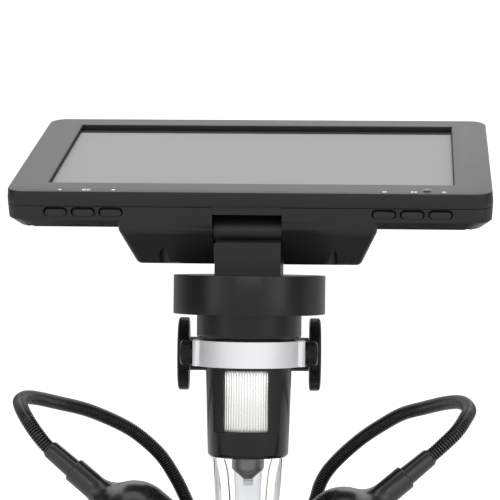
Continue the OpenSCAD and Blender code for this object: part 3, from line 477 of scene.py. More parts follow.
def borrow(frame: dict, name: str, node: str) -> bpy.types.Object:
    """Copies a solid's mesh in millimetres, with its triangles merged to clean faces.

    Args:
        name: Name of the copy.
        node: Node whose mesh is copied.

    Returns:
        The copy.
    """
    pick(frame["nodes"][node])
    bpy.ops.object.duplicate()
    obj = bpy.context.object
    place = obj.matrix_world.copy()
    obj.parent = None
    obj.matrix_world = place
    obj.name = name
    obj.data.materials.clear()
    seat(obj, Matrix.Scale(1 / MM, 4))
    with editing(obj, Part.VERT):
        bpy.ops.mesh.remove_doubles(threshold=2 * NEAR)
        bpy.ops.mesh.select_all(action="SELECT")
        bpy.ops.mesh.dissolve_limited(angle_limit=math.radians(FLAT_DEG))
    return obj


# ---------- finishes ----------


class Effects:
    """Node groups that the finishes share, each built once."""

    # Reach and break-up of the edge lightening, which is partly wear and partly painted edge
    # highlight
    WEAR_AND_HIGHLIGHT_RADIUS = 0.35 * MM
    WEAR_AND_HIGHLIGHT_TURN = (0.985, 0.9)
    WEAR_AND_HIGHLIGHT_DENSITY = 900.0
    DUST_DENSITY = 260.0
    DUST_COLOUR = (0.55, 0.54, 0.52, 1)
    DUST_FALL = 3.0
    _made: dict[str, bpy.types.NodeTree] = {}

    @classmethod
    def _start(cls, name: str, inputs: dict[str, object],
               *outputs: str) -> tuple[bpy.types.NodeTree, bpy.types.Node, bpy.types.Node]:
        """Starts a node group.

        Args:
            name: Name of the group.
            inputs: Socket names with their first value; a tuple makes a colour socket.
            outputs: Names of the sockets that it gives; Colour is a colour socket.

        Returns:
            The group, its input node and its output node.
        """
        number, colour = "NodeSocketFloat", "NodeSocketColor"
        tree = bpy.data.node_groups.new(name, "ShaderNodeTree")
        for label, value in inputs.items():
            kind = colour if isinstance(value, tuple) else number
            socket = tree.interface.new_socket(label, in_out="INPUT", socket_type=kind)
            socket.default_value = value
        for label in outputs:
            kind = colour if label == "Colour" else number
            tree.interface.new_socket(label, in_out="OUTPUT", socket_type=kind)
        cls._made[name] = tree
        return tree, tree.nodes.new("NodeGroupInput"), tree.nodes.new("NodeGroupOutput")

    @staticmethod
    def _feed(tree: bpy.types.NodeTree, socket: bpy.types.NodeSocket, value: object) -> None:
        """Links a socket to another one, or sets it to a number or a colour."""
        if isinstance(value, bpy.types.NodeSocket):
            tree.links.new(value, socket)
        else:
            socket.default_value = value

    @staticmethod
    def _noise(tree: bpy.types.NodeTree, vector: bpy.types.NodeSocket,
               detail: float) -> bpy.types.NodeSocket:
        """Adds a noise texture that reads a vector.

        Args:
            tree: Group tree.
            vector: Coordinates.
            detail: Detail of the noise.

        Returns:
            The socket of the noise.
        """
        noise = tree.nodes.new("ShaderNodeTexNoise")
        noise.inputs["Scale"].default_value = 1.0
        noise.inputs["Detail"].default_value = detail
        tree.links.new(vector, noise.inputs["Vector"])
        return noise.outputs["Fac"]

    @classmethod
    def calc(cls, tree: bpy.types.NodeTree, kind: str, *values: object) -> bpy.types.NodeSocket:
        """Adds a Math node.

        Args:
            tree: Group, material or world tree.
            kind: Its operation.
            values: Numbers or sockets, one for each input.

        Returns:
            The socket of the result.
        """
        node = tree.nodes.new("ShaderNodeMath")
        node.operation = kind
        for socket, value in zip(node.inputs, values):
            cls._feed(tree, socket, value)
        return node.outputs[0]

    @classmethod
    def _vector(cls, tree: bpy.types.NodeTree, kind: str, first: object, second: object,
                port: int | str = 1) -> bpy.types.Node:
        """Adds a Vector Math node.

        Args:
            tree: Group tree.
            kind: Its operation.
            first: Vector or socket of its first input.
            second: Vector, number or socket of its second input.
            port: Second input.

        Returns:
            The node.
        """
        node = tree.nodes.new("ShaderNodeVectorMath")
        node.operation = kind
        cls._feed(tree, node.inputs[0], first)
        cls._feed(tree, node.inputs[port], second)
        return node

    @classmethod
    def _scaled(cls, tree: bpy.types.NodeTree, factor: object,
                stretch: Point = (1, 1, 1)) -> bpy.types.NodeSocket:
        """Gives Object coordinates times a factor.

        Args:
            tree: Group tree.
            factor: Number or socket with the factor.
            stretch: Extra factor for each axis.

        Returns:
            The socket of the scaled coordinates.
        """
        where = tree.nodes.new("ShaderNodeTexCoord").outputs["Object"]
        shape = cls._vector(tree, "MULTIPLY", where, stretch)
        return cls._vector(tree, "SCALE", shape.outputs[0], factor, "Scale").outputs[0]

    @classmethod
    def _mixed(cls, tree: bpy.types.NodeTree, part: bpy.types.NodeSocket,
               colours: tuple[object, object]) -> bpy.types.NodeSocket:
        """Mixes two colours.

        Args:
            tree: Group tree.
            part: Part of the second colour.
            colours: Both, as colours or sockets.

        Returns:
            The socket of the mixed colour.
        """
        blend = tree.nodes.new("ShaderNodeMix")
        blend.data_type = "RGBA"
        tree.links.new(part, blend.inputs["Factor"])
        for port, colour in zip((6, 7), colours):
            cls._feed(tree, blend.inputs[port], colour)
        return blend.outputs[2]

    @classmethod
    def tone(cls) -> bpy.types.NodeTree:
        """Group that lets a colour and a roughness drift slowly over the surface."""
        name = "slow_tone"
        if name in cls._made:
            return cls._made[name]
        tree, given, out = cls._start(name, {
            "Colour": (0.5, 0.5, 0.5, 1), "Roughness": 0.5, "Drift": 0.1, "Density": 60.0},
            "Colour", "Roughness")
        noise = cls._noise(tree, cls._scaled(tree, given.outputs["Density"]), 3.0)
        centred = cls.calc(tree, "SUBTRACT", noise, 0.5)
        swing = cls.calc(tree, "MULTIPLY", centred, given.outputs["Drift"])
        gain = cls.calc(tree, "MULTIPLY_ADD", swing, 2.0, 1.0)
        shade = cls._vector(tree, "SCALE", given.outputs["Colour"], gain, "Scale")
        rough = cls.calc(tree, "MULTIPLY", given.outputs["Roughness"], gain)
        tree.links.new(shade.outputs[0], out.inputs["Colour"])
        tree.links.new(rough, out.inputs["Roughness"])
        return tree

    @classmethod
    def edge_wear(cls) -> bpy.types.NodeTree:
        """Group that lightens the colour along outer edges, broken up by a fine noise: partly
        wear, partly painted edge highlight.
        """
        name = "edge_wear"
        if name in cls._made:
            return cls._made[name]
        tree, given, out = cls._start(name, {
            "Colour": (0.5, 0.5, 0.5, 1), "Worn": (0.6, 0.6, 0.6, 1), "Amount": 0.3}, "Colour")
        shape = tree.nodes.new("ShaderNodeNewGeometry")
        rounded = tree.nodes.new("ShaderNodeBevel")
        rounded.samples = 4
        rounded.inputs["Radius"].default_value = cls.WEAR_AND_HIGHLIGHT_RADIUS
        turn = cls._vector(tree, "DOT_PRODUCT", shape.outputs["Normal"],
                           rounded.outputs["Normal"])
        reach = tree.nodes.new("ShaderNodeMapRange")
        for label, value in zip(("From Min", "From Max"), cls.WEAR_AND_HIGHLIGHT_TURN):
            reach.inputs[label].default_value = value
        tree.links.new(turn.outputs["Value"], reach.inputs["Value"])
        noise = cls._noise(tree, cls._scaled(tree, cls.WEAR_AND_HIGHLIGHT_DENSITY), 4.0)
        broken = cls.calc(tree, "MULTIPLY", reach.outputs[0], noise)
        part = cls.calc(tree, "MULTIPLY", broken, given.outputs["Amount"])
        tree.links.new(cls._mixed(tree, part, (given.outputs["Colour"], given.outputs["Worn"])),
                       out.inputs["Colour"])
        return tree

    @classmethod
    def dust(cls) -> bpy.types.NodeTree:
        """Group that lays a thin uneven film of dust on faces that look up."""
        name = "dust_film"
        if name in cls._made:
            return cls._made[name]
        tree, given, out = cls._start(name, {
            "Colour": (0.5, 0.5, 0.5, 1), "Amount": 0.05}, "Colour")
        shape = tree.nodes.new("ShaderNodeNewGeometry")
        split = tree.nodes.new("ShaderNodeSeparateXYZ")
        tree.links.new(shape.outputs["Normal"], split.inputs[0])
        above = cls.calc(tree, "MAXIMUM", split.outputs["Z"], 0.0)
        up = cls.calc(tree, "POWER", above, cls.DUST_FALL)
        noise = cls._noise(tree, cls._scaled(tree, cls.DUST_DENSITY), 6.0)
        film = cls.calc(tree, "MULTIPLY", up, noise)
        part = cls.calc(tree, "MULTIPLY", film, given.outputs["Amount"])
        tree.links.new(cls._mixed(tree, part, (given.outputs["Colour"], cls.DUST_COLOUR)),
                       out.inputs["Colour"])
        return tree

    @classmethod
    def grain(cls, stretch: tuple[float, float, float] | None) -> bpy.types.NodeTree:
        """Group that gives the height of a moulded or cast grain, or of fine tool lines.

        Args:
            stretch: Density of the lines along each axis, against the others; None is a grain.

        Returns:
            The group.
        """
        name = "brushed_%g_%g_%g" % stretch if stretch else "fine_grain"
        if name in cls._made:
            return cls._made[name]
        tree, given, out = cls._start(name, {"Density": 2500.0}, "Height")
        where = cls._scaled(tree, given.outputs["Density"], stretch or (1, 1, 1))
        noise = cls._noise(tree, where, 3.0 if stretch else 2.0)
        tree.links.new(noise, out.inputs["Height"])
        return tree


@dataclass(frozen=True)
class Finish:
    """One surface finish, from which its material is made."""

    name: str
    colour: Colour
    roughness: float = 0.4
    metallic: float = 0.0
    ior: float = 1.5
    specular: float = 0.5
    coat: float = 0.0
    coat_roughness: float = 0.08
    transmission: float = 0.0
    drift: float = 0.12
    patch: float = 18.0
    # Edge lightening, partly wear and partly painted edge highlight, and its lighter edge colour
    wear_and_highlight: float = 0.0
    worn: Colour = (0.3, 0.3, 0.31)
    dust: float = 0.0
    grain: float = 0.0
    grain_size: float = 0.4
    brush: tuple[float, float, float] | None = None
    glow: float = 0.0

    def material(self) -> bpy.types.Material:
        """Gives the finish's material, made on first use."""
        found = bpy.data.materials.get(self.name + "_surface")
        return found if found else self._build()

    def _build(self) -> bpy.types.Material:
        """Builds the material from the shared effects and one Principled shader."""
        material = bpy.data.materials.new(self.name + "_surface")
        material.use_nodes = True
        tree = material.node_tree
        shader = tree.nodes["Principled BSDF"]
        for label, value in (("Base Color", (*self.colour, 1)), ("Roughness", self.roughness),
                             ("Metallic", self.metallic), ("IOR", self.ior),
                             ("Specular IOR Level", self.specular),
                             ("Coat Weight", self.coat),
                             ("Coat Roughness", self.coat_roughness),
                             ("Transmission Weight", self.transmission),
                             ("Emission Strength", self.glow)):
            shader.inputs[label].default_value = value
        if self.drift:
            self._vary(tree, shader)
        if self.grain:
            height = self._group(tree, Effects.grain(self.brush),
                                 Density=1 / (self.grain_size * MM))
            relief = tree.nodes.new("ShaderNodeBump")
            relief.inputs["Distance"].default_value = self.grain * MM
            tree.links.new(height.outputs["Height"], relief.inputs["Height"])
            tree.links.new(relief.outputs["Normal"], shader.inputs["Normal"])
        return material

    def _vary(self, tree: bpy.types.NodeTree, shader: bpy.types.Node) -> None:
        """Lets colour and roughness drift, and adds edge lightening (partly wear, partly painted
        edge highlight) and dust.

        Args:
            tree: The material's tree.
            shader: Its Principled shader.
        """
        tone = self._group(tree, Effects.tone(), Drift=self.drift, Density=1 / (self.patch * MM),
                           Roughness=self.roughness, Colour=(*self.colour, 1))
        colour = tone.outputs["Colour"]
        for effect, values in ((Effects.edge_wear, {"Amount": self.wear_and_highlight,
                                                    "Worn": (*self.worn, 1)}),
                               (Effects.dust, {"Amount": self.dust})):
            if values["Amount"]:
                node = self._group(tree, effect(), **values)
                tree.links.new(colour, node.inputs["Colour"])
                colour = node.outputs["Colour"]
        tree.links.new(colour, shader.inputs["Base Color"])
        tree.links.new(tone.outputs["Roughness"], shader.inputs["Roughness"])
        if self.glow:
            tree.links.new(colour, shader.inputs["Emission Color"])

    @staticmethod
    def _group(tree: bpy.types.NodeTree, group: bpy.types.NodeTree,
               **values: object) -> bpy.types.Node:
        """Places a shared effect in a material.

        Args:
            tree: The material's tree.
            group: The effect.
            values: Its inputs.

        Returns:
            The placed node.
        """
        node = tree.nodes.new("ShaderNodeGroup")
        node.node_tree = group
        for label, value in values.items():
            node.inputs[label].default_value = value
        return node


CASE_BLACK = Finish("case_black", (0.0108, 0.0108, 0.0113), 0.36, specular=0.25, drift=0.06,
                    grain=0.012, grain_size=0.35, wear_and_highlight=0.05, dust=0.02, patch=40)
BUTTON_BLACK = Finish("button_black", (0.014, 0.014, 0.0145), 0.42, specular=0.25, drift=0.05,
                      wear_and_highlight=0.05)
# Grey base colour of the dark screen: painted reflection of the bright studio on its glass
SCREEN_PAINTED_REFLECTION = Finish("screen_grey", (0.25, 0.243, 0.248), 0.6, specular=0.35, drift=0.01,
                     patch=60)
# Black of the screen's mask, and of the strips put up the opening's side walls as painted shade
MASK_AND_SHADE_BLACK = Finish("mask_black", (0.004, 0.004, 0.004), 0.5, specular=0.1, drift=0.04)
STATUS_COVER = Finish("status_cover", (0.004, 0.004, 0.005), 0.08, ior=1.6, coat=0.6)
PRINT_WHITE = Finish("print_white", (0.78, 0.78, 0.77), 0.5, drift=0.04)
NECK_BLACK = Finish("neck_black", (0.005, 0.005, 0.0053), 0.4, specular=0.26, drift=0.08,
                    grain=0.01, wear_and_highlight=0.08)
HUB_BLACK = Finish("hub_black", (0.0042, 0.0042, 0.0045), 0.22, specular=0.28, drift=0.06,
                   grain=0.004, wear_and_highlight=0.1, dust=0.02)
RING_SATIN = Finish("ring_satin", (0.68, 0.68, 0.693), 0.6, metallic=1.0, drift=0.05,
                    grain=0.014, grain_size=0.5, brush=(0.06, 0.06, 1.0), wear_and_highlight=0.2,
                    worn=(0.95, 0.95, 0.95))
WHEEL_SATIN = Finish("wheel_satin", (0.78, 0.78, 0.77), 0.24, metallic=0.85, drift=0.04)
CARRIER_GREY = Finish("carrier_grey", (0.12, 0.12, 0.124), 0.35, metallic=0.7, drift=0.08,
                      grain=0.004, grain_size=0.3, brush=(0.05, 0.05, 1.0))
HOOD_CLEAR = Finish("hood_clear", (0.98, 0.985, 0.99), 0.03, ior=1.2, transmission=1.0,
                    drift=0.0)
LENS_GLASS = Finish("lens_glass", (0.8, 0.86, 0.95), 0.02, ior=1.52, transmission=0.6, coat=1.0)
KNOB_BLACK = Finish("knob_black", (0.004, 0.004, 0.0043), 0.24, specular=0.18, drift=0.08,
                    wear_and_highlight=0.06, worn=(0.32, 0.32, 0.33))
CAST_BLACK = Finish("cast_black", (0.007, 0.007, 0.0073), 0.5, specular=0.35, drift=0.12,
                    grain=0.04, grain_size=0.7, wear_and_highlight=0.35, dust=0.04)
BASE_PAINT = Finish("base_paint", (0.009, 0.009, 0.0095), 0.42, drift=0.1, grain=0.03,
                    grain_size=0.8, wear_and_highlight=0.3, dust=0.05, patch=50)
PAD_RUBBER = Finish("pad_rubber", (0.012, 0.012, 0.012), 0.8, drift=0.15, grain=0.05)
STAGE_WHITE = Finish("stage_white", (0.82, 0.82, 0.8), 0.38, drift=0.03, grain=0.01, dust=0.03)
COLUMN_SATIN = Finish("column_satin", (0.78, 0.79, 0.8), 0.34, metallic=1.0, drift=0.05,
                      grain=0.006, grain_size=0.5, brush=(1.0, 1.0, 0.05))
RACK_STEEL = Finish("rack_steel", (0.5, 0.5, 0.5), 0.35, metallic=1.0, drift=0.1)
SHAFT_STEEL = Finish("shaft_steel", (0.62, 0.62, 0.63), 0.25, metallic=1.0, drift=0.06)
SCREW_STEEL = Finish("screw_steel", (0.09, 0.09, 0.095), 0.36, metallic=0.8, drift=0.1,
                     wear_and_highlight=0.4)
BUSH_BRASS = Finish("bush_brass", (0.72, 0.5, 0.22), 0.3, metallic=1.0)
TRAY_STEEL = Finish("tray_steel", (0.6, 0.6, 0.61), 0.4, metallic=1.0)
PORT_STEEL = Finish("port_steel", (0.66, 0.66, 0.67), 0.3, metallic=1.0)
CELL_WRAP = Finish("cell_wrap", (0.06, 0.2, 0.45), 0.4)
BOARD_GREEN = Finish("board_green", (0.02, 0.13, 0.06), 0.4, coat=0.3, grain=0.02)
EMITTER = Finish("emitter_white", (0.92, 0.9, 0.82), 0.3, glow=0.15)
GOOSENECK_BLACK = Finish("gooseneck_black", (0.004, 0.004, 0.0043), 0.24, drift=0.1)
LAMP_BLACK = Finish("lamp_black", (0.004, 0.004, 0.0043), 0.26, specular=0.55, drift=0.05,
                    wear_and_highlight=0.06, dust=0.02, patch=12)
LAMP_FROST = Finish("lamp_frost", (0.95, 0.95, 0.92), 0.45, transmission=0.7, ior=1.45)


def dress(piece: bpy.types.Object, finish: Finish) -> None:
    """Shrinks a finished piece to metres and gives it its material.

    Args:
        piece: Piece in millimetres.
        finish: Its finish.
    """
    seat(piece, Matrix.Scale(MM, 4))
    piece.data.materials.clear()
    piece.data.materials.append(finish.material())


def hand_over(piece: bpy.types.Object, body: str, slot: str, finish: Finish,
              *nodes: str) -> None:
    """Dresses a finished piece and gives it to the frame.

    Args:
        piece: Piece in millimetres.
        body: Body that it rides on.
        slot: Material slot of the record; not used.
        finish: Its finish.
        nodes: Solids that it stands for.
    """
    dress(piece, finish)
    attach(piece, body)
    if nodes:
        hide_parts(*nodes)
    log.info("%s rides on %s", piece.name, body)


def redress(frame: dict, finish: Finish, *nodes: str) -> None:
    """Gives solids that stay as they are a better material.

    Args:
        finish: Their finish.
        nodes: Names of the solids.
    """
    for node in nodes:
        for slot in frame["nodes"][node].material_slots:
            slot.material = finish.material()
    log.info("kept %s", ", ".join(nodes))


# ---------- sub-assemblies ----------


@dataclass
class Head:
    """Barrel, hub and neck, which turn together in the clamp ring."""

    turn_deg: float = -3.8
    hub_z: float = 130.5
    hub_top: float = 145.3
    hub_r: float = 29.0
    hub_wall: float = 2.5
    collar_r: float = 20.0
    collar_z: float = 120.9
    clamp_r: float = 16.6
    ring_z: float = 110.6
    barrel_z: float = 76.2
    barrel_low_r: float = 15.4
    barrel_top_r: float = 16.4
    # Chamfer at the barrel's lower end: inward and upward
    barrel_foot: tuple[float, float] = (0.8, 1.0)
    fit: float = 0.02
    window_z: float = 85.9
    window_top: float = 109.6
    window_half: float = 8.5
    facet_deg: float = 29.6
    # Distance of the scoops' facets from the axis, at the window's foot and top
    facet_r: tuple[float, float] = (14.44, 15.14)
    facet_half: float = 7.0
    pocket_r: float = 14.0
    spigot_r: float = 13.3
    bore_r: float = 11.3
    upper_bore_r: float = 14.2
    ledge_z: float = 111.5
    board_top: float = 81.2
    hood_z: float = 54.0
    # Radius at the hood's foot and at the barrel; then its spigot's bore and outside
    hood_r: tuple[float, float] = (13.3, 14.0)
    hood_mouth_r: float = 8.2
    hood_spigot_r: tuple[float, float] = (10.4, 13.25)
    hood_top: float = 79.9
    # Radius and height of the hood's bore, downward
    hood_bore: tuple[tuple[float, float], ...] = (
        (9.9, 73), (9.3, 70.5), (8.8, 66.5), (8.4, 62), (8.2, 58), (8.2, 54.4))
    neck_x: tuple[float, float] = (-12.55, 12.4)
    neck_y: tuple[float, float] = (-11.0, 9.0)
    neck_top: float = 157.4
    web_x: tuple[float, float] = (-12.3, 12.2)
    web_half: float = 5.5
    knuckle_x: tuple[float, float] = (-13.3, 12.4)
    knuckle_r: float = 6.5
    pin_r: float = 2.05
    pin_half: float = 14.0
    wheel_r: float = 13.9
    wheel_bore_r: float = 9.5
    wheel_gap: float = 0.1
    wheel_reeds: int = 80
    reed_r: float = 0.47
    reed_depth: float = 0.5
    # Radius, height and setback of the nose, upward; then its hole, downward
    nose: tuple[Point, ...] = ((1.7, 67.3, 0.15), (3.6, 68.9), (6.1, 71.0, 0.3), (6.3, 71.8))
    nose_hole: tuple[tuple[float, float], ...] = ((4.0, 71.2), (1.2, 70.3), (1.2, 67.3))
    carrier_top: float = 105.5
    thread_r: float = 9.4
    thread_z: tuple[float, float] = (91.85, 99.85)
    hinge_z: float = 162.0

    @property
    def place(self) -> Matrix:
        """Where the head stands, turned in its ring."""
        return Matrix.Rotation(math.radians(self.turn_deg), 4, "Z")

    def build(self, frame: dict) -> None:
        """Builds and dresses the head's pieces.
        """
        self._hub()
        self._barrel()
        self._hood()
        self._neck()
        self._wheel()
        self._carrier()
        redress(frame, LENS_GLASS, "objective_lens")
        redress(frame, BOARD_GREEN, "sensor_board")
        redress(frame, STAGE_WHITE, "led_board")
        redress(frame, EMITTER, "leds")
        redress(frame, SCREW_STEEL, "neck_screws")

    def _hub(self) -> None:
        """Builds the wide disc below the neck."""
        inner = self.hub_r - self.hub_wall
        hub = lathe("hub", [
            (0, self.hub_top), (self.hub_r, self.hub_top, 0.35), (self.hub_r, self.hub_z, 0.3),
            (inner, self.hub_z), (inner, self.hub_top - self.hub_wall),
            (0, self.hub_top - self.hub_wall)], steps=128)
        hand_over(seat(hub, self.place), "head", "barrel_black", HUB_BLACK, "hub_shell")

    def _barrel(self) -> None:
        """Builds the barrel with its collar, clamp part, window and side scoops."""
        flange_r = self.hub_r - self.hub_wall - self.fit
        top = self.hub_z + self.hub_wall
        foot_in, foot_up = self.barrel_foot
        barrel = lathe("barrel", [
            (self.upper_bore_r, top), (flange_r, top), (flange_r, self.hub_z),
            (self.collar_r, self.hub_z, 0.3), (self.collar_r, self.collar_z, 1.8),
            (self.clamp_r, self.collar_z), (self.clamp_r, self.ring_z),
            (self.barrel_top_r, self.ring_z), (self.barrel_low_r, self.barrel_z + foot_up, 0.4),
            (self.barrel_low_r - foot_in, self.barrel_z, 0.2), (self.spigot_r, self.barrel_z),
            (self.spigot_r, self.board_top), (self.bore_r, self.board_top),
            (self.bore_r, self.ledge_z), (self.upper_bore_r, self.ledge_z),
            (self.upper_bore_r, top)], steps=128)
        reach = self.collar_r + 5
        low, high = self.window_z, self.window_top
        for side in Side:
            facet = loft("facet", [(r, reach, -self.facet_half, self.facet_half, z)
                                   for r, z in zip(self.facet_r, (low, high))])
            turn = math.radians(90 + side.value * self.facet_deg)
            combine(barrel, [repeated(facet, [Matrix.Rotation(turn + k * math.pi, 4, "Z")
                                              for k in range(2)])])
        combine(barrel, [box("window", (-self.window_half, -reach, low),
                             (self.window_half, reach, high))])
        combine(barrel, [rod("pocket", (0, 0, low), (0, 0, high), self.pocket_r, 128)])
        soften(barrel, 0.35)
        hand_over(seat(barrel, self.place), "head", "barrel_black", HUB_BLACK, "barrel_shell")

    def _hood(self) -> None:
        """Builds the clear hood with its curved bore."""
        low, rim, top = self.hood_z, self.barrel_z, self.hood_top
        low_r, high_r = self.hood_r
        inner, outer = self.hood_spigot_r
        hood = lathe("clear_hood", [
            (self.hood_mouth_r, low), (low_r, low, 0.5), (high_r, rim, 0.3), (outer, rim),
            (outer, top), (inner, top), (inner, rim), *self.hood_bore,
            (self.hood_mouth_r, low)], steps=128)
        hand_over(seat(hood, self.place), "head", "hood_clear", HOOD_CLEAR, "hood")

    def _neck(self) -> None:
        """Builds the neck with its ledge and the hinge knuckle on top."""
        (left, right), (near, far), axle = self.neck_x, self.neck_y, self.hinge_z
        neck = box("neck", (left, near, self.hub_top), (right, far, self.neck_top))
        left, right = self.web_x
        combine(neck, [box("web", (left, -self.web_half, self.hub_top + 1),
                           (right, self.web_half, axle))], Join.UNITE)
        left, right = self.knuckle_x
        combine(neck, [rod("knuckle", (left, 0, axle), (right, 0, axle), self.knuckle_r, 96)],
                Join.UNITE)
        combine(neck, [rod("bore", (-self.pin_half, 0, axle), (self.pin_half, 0, axle),
                           self.pin_r, 48)])
        soften(neck, 0.6, 3)
        hand_over(seat(neck, self.place), "head", "neck_black", NECK_BLACK, "neck")

    def _wheel(self) -> None:
        """Builds the focus wheel with its row of round reeds."""
        gap = self.wheel_gap
        low, high = self.window_z + gap, self.window_top - gap
        core_r = self.wheel_r - self.reed_depth
        core = lathe("focus_wheel", [
            (self.wheel_bore_r, low), (core_r, low, 0.3), (core_r, high, 0.3),
            (self.wheel_bore_r, high), (self.wheel_bore_r, low)], steps=144)
        foot, head = low + gap, high - gap
        reed = rod("reed", (0, 0, foot), (0, 0, head), self.reed_r, 10)
        bevel(reed, 0.15, 2, lambda e: lies_at(e, Axis.Z, foot) or lies_at(e, Axis.Z, head))
        smooth(reed)
        reeds = repeated(reed, ring_of(self.wheel_reeds, core_r - self.fit))
        wheel = joined([core, reeds])
        hand_over(seat(wheel, self.place), "wheel", "wheel_silver", WHEEL_SATIN, "focus_wheel")

    def _carrier(self) -> None:
        """Builds the lens carrier with its tapered nose."""
        r, bore, top = self.nose[-1][0], self.nose_hole[0][0], self.carrier_top
        low, high = self.thread_z
        carrier = lathe("lens_carrier_nose", [
            self.nose_hole[-1], *self.nose, (r, low), (self.thread_r, low, 0.2),
            (self.thread_r, high, 0.2), (r, high), (r, top, 0.3), (bore, top),
            *self.nose_hole], steps=96)
        hand_over(seat(carrier, self.place), "lens", "carrier_grey", CARRIER_GREY,
                  "lens_carrier")


@dataclass
class Monitor:
    """Flat monitor on the hinge: bezel, rear case, buttons, marks and status lens.

    In its own frame X runs along the hinge, Y from the near edge to the far one, and Z out of
    the screen. Sizes named u are places along Y.
    """

    tilt_deg: float = 16.7
    hinge_shift: Point = (0.0, -8.9, 17.6)
    half_w: float = 92.0
    flare: float = 0.3
    mid_x: float = -0.2
    rear_x: float = -0.5
    depth: float = 116.0
    corner_r: float = 6.8
    top_edge: float = 0.4
    near_lean: float = 0.1
    flare_z: float = -3.6
    seam_z: float = -5.6
    seam_gap: float = 0.3
    lip: float = 3.5
    fold_z: float = -11.2
    bottom_z: float = -14.4
    # How far the underside lies inside the fold: sides, near edge, far edge
    chamfer: tuple[float, float, float] = (3.5, 2.2, 4.0)
    wall: float = 1.8
    tongue_in: float = 0.7
    # Left, right, near and far edge of the screen's opening
    opening: tuple[float, float, float, float] = (-77.8, 77.6, 13.5, 105.5)
    rim_round: float = 0.5
    panel_lap: float = 1.5
    panel_low: float = -4.7
    glass_z: float = -1.9
    mask_lap: float = 1.0
    mask_t: float = 0.3
    # Width of the black frame at the opening's left, right, near and far edge; the wide far band
    # is partly painted shade of the bezel's inner bevel
    mask: tuple[float, float, float, float] = (0.1, 0.3, 0.1, 6.2)
    # Black strips up the opening's left and right walls: painted shade on the bezel's inner
    # walls
    shade_lining_z: float = -0.6
    shade_lining_in: float = 0.1
    shade_lining_half: float = 0.12
    # Half width, near end, far end and height of the bulge's sections
    bulge: tuple[tuple[float, float, float, float], ...] = (
        (49.9, 0.0, 76.0, -8.5), (49.0, 0.0, 75.0, -15.5), (42.7, 6.9, 66.0, -30.6))
    bulge_round: float = 1.8
    notch_half: float = 13.25
    notch_depth: float = 35.0
    notch_roof: float = -8.7
    # Depth and height of the shallow cut in front of the knuckle
    strip: tuple[tuple[float, float], ...] = ((0.2, -9.7), (0.9, -5.5))
    housing_u: float = 36.8
    hollow_top: float = -4.0
    post_x: float = 85.7
    post_us: tuple[float, float] = (6.5, 109.5)
    post_r: float = 2.8
    screw_r: float = 1.8
    screw_top: float = -12.6
    screw_low: float = -16.0
    # Place of the half-round screw grooves beside the middle, and of the pry slots
    groove: tuple[float, float] = (32.2, 5.4)
    groove_r: float = 1.95
    groove_top: float = -19.3
    groove_boss_r: float = 4.0
    pry: tuple[float, float] = (82.9, 2.3)
    pry_r: float = 1.0
    pry_top: float = -13.4
    port_us: tuple[float, float] = (81.0, 97.0)
    port_half: float = 4.6
    port_x: tuple[float, float] = (-94.0, -84.0)
    port_z: tuple[float, float] = (-9.7, -6.3)
    vents: int = 6
    vent_x: float = 8.0
    vent_pitch: float = 3.4
    vent_half: float = 0.7
    vent_u: tuple[float, float] = (44.0, 60.0)
    vent_depth: float = 0.8
    # Half width, lower and upper edge of a button's pocket
    pocket: tuple[float, float, float] = (4.7, -9.75, -6.05)
    pocket_round: float = 1.75
    # Space beside and above a button in its pocket
    button_gap: tuple[float, float] = (0.68, 0.92)
    button_drop: float = 0.03
    button_face: float = -0.12
    button_round: float = 1.3
    button_edge: float = 0.3
    # How much wider and taller a button is behind the wall
    button_collar: tuple[float, float] = (1.08, 1.1)
    button_pitch: float = 10.6
    button_x: float = 62.25
    marks_u: float = 3.1
    mark_xs: tuple[float, ...] = (-71.7, -61.6, -51.3, 51.3, 62.3, 73.6)
    # Lower and upper face of the printed ink
    ink: tuple[float, float] = (-0.02, 0.03)
    # Place and radius of the status lens, and its dome as share of radius and height
    status: tuple[float, float, float] = (67.2, 4.3, 1.62)
    status_form: tuple[tuple[float, float], ...] = (
        (0.0, 0.92), (0.35, 0.85), (0.65, 0.62), (0.88, 0.28))
    head: Head = field(default_factory=Head)

    @property
    def place(self) -> Matrix:
        """Where the monitor stands: on the hinge, tilted and turned with the head."""
        return (self.head.place @ Matrix.Translation((0, 0, self.head.hinge_z))
                @ Matrix.Rotation(math.radians(self.tilt_deg), 4, "X")
                @ Matrix.Translation(self.hinge_shift))

    def build(self, frame: dict) -> None:
        """Builds and dresses the monitor's pieces.
        """
        self._bezel()
        self._display()
        self._rear()
        self._buttons()
        self._status_lens()
        self._marks()
        redress(frame, TRAY_STEEL, "lcd_tray")
        redress(frame, BOARD_GREEN, "main_board")
        redress(frame, CELL_WRAP, "battery")
        redress(frame, SHAFT_STEEL, "hinge_pin")
        redress(frame, SCREW_STEEL, "case_screws")
        redress(frame, PORT_STEEL, "ports")

    def _sides(self, inset: float) -> tuple[float, float]:
        """Gives the left and right face of the case.

        Args:
            inset: How far they lie inside the outer form.

        Returns:
            Both values of X.
        """
        return self.mid_x - self.half_w + inset, self.mid_x + self.half_w - inset

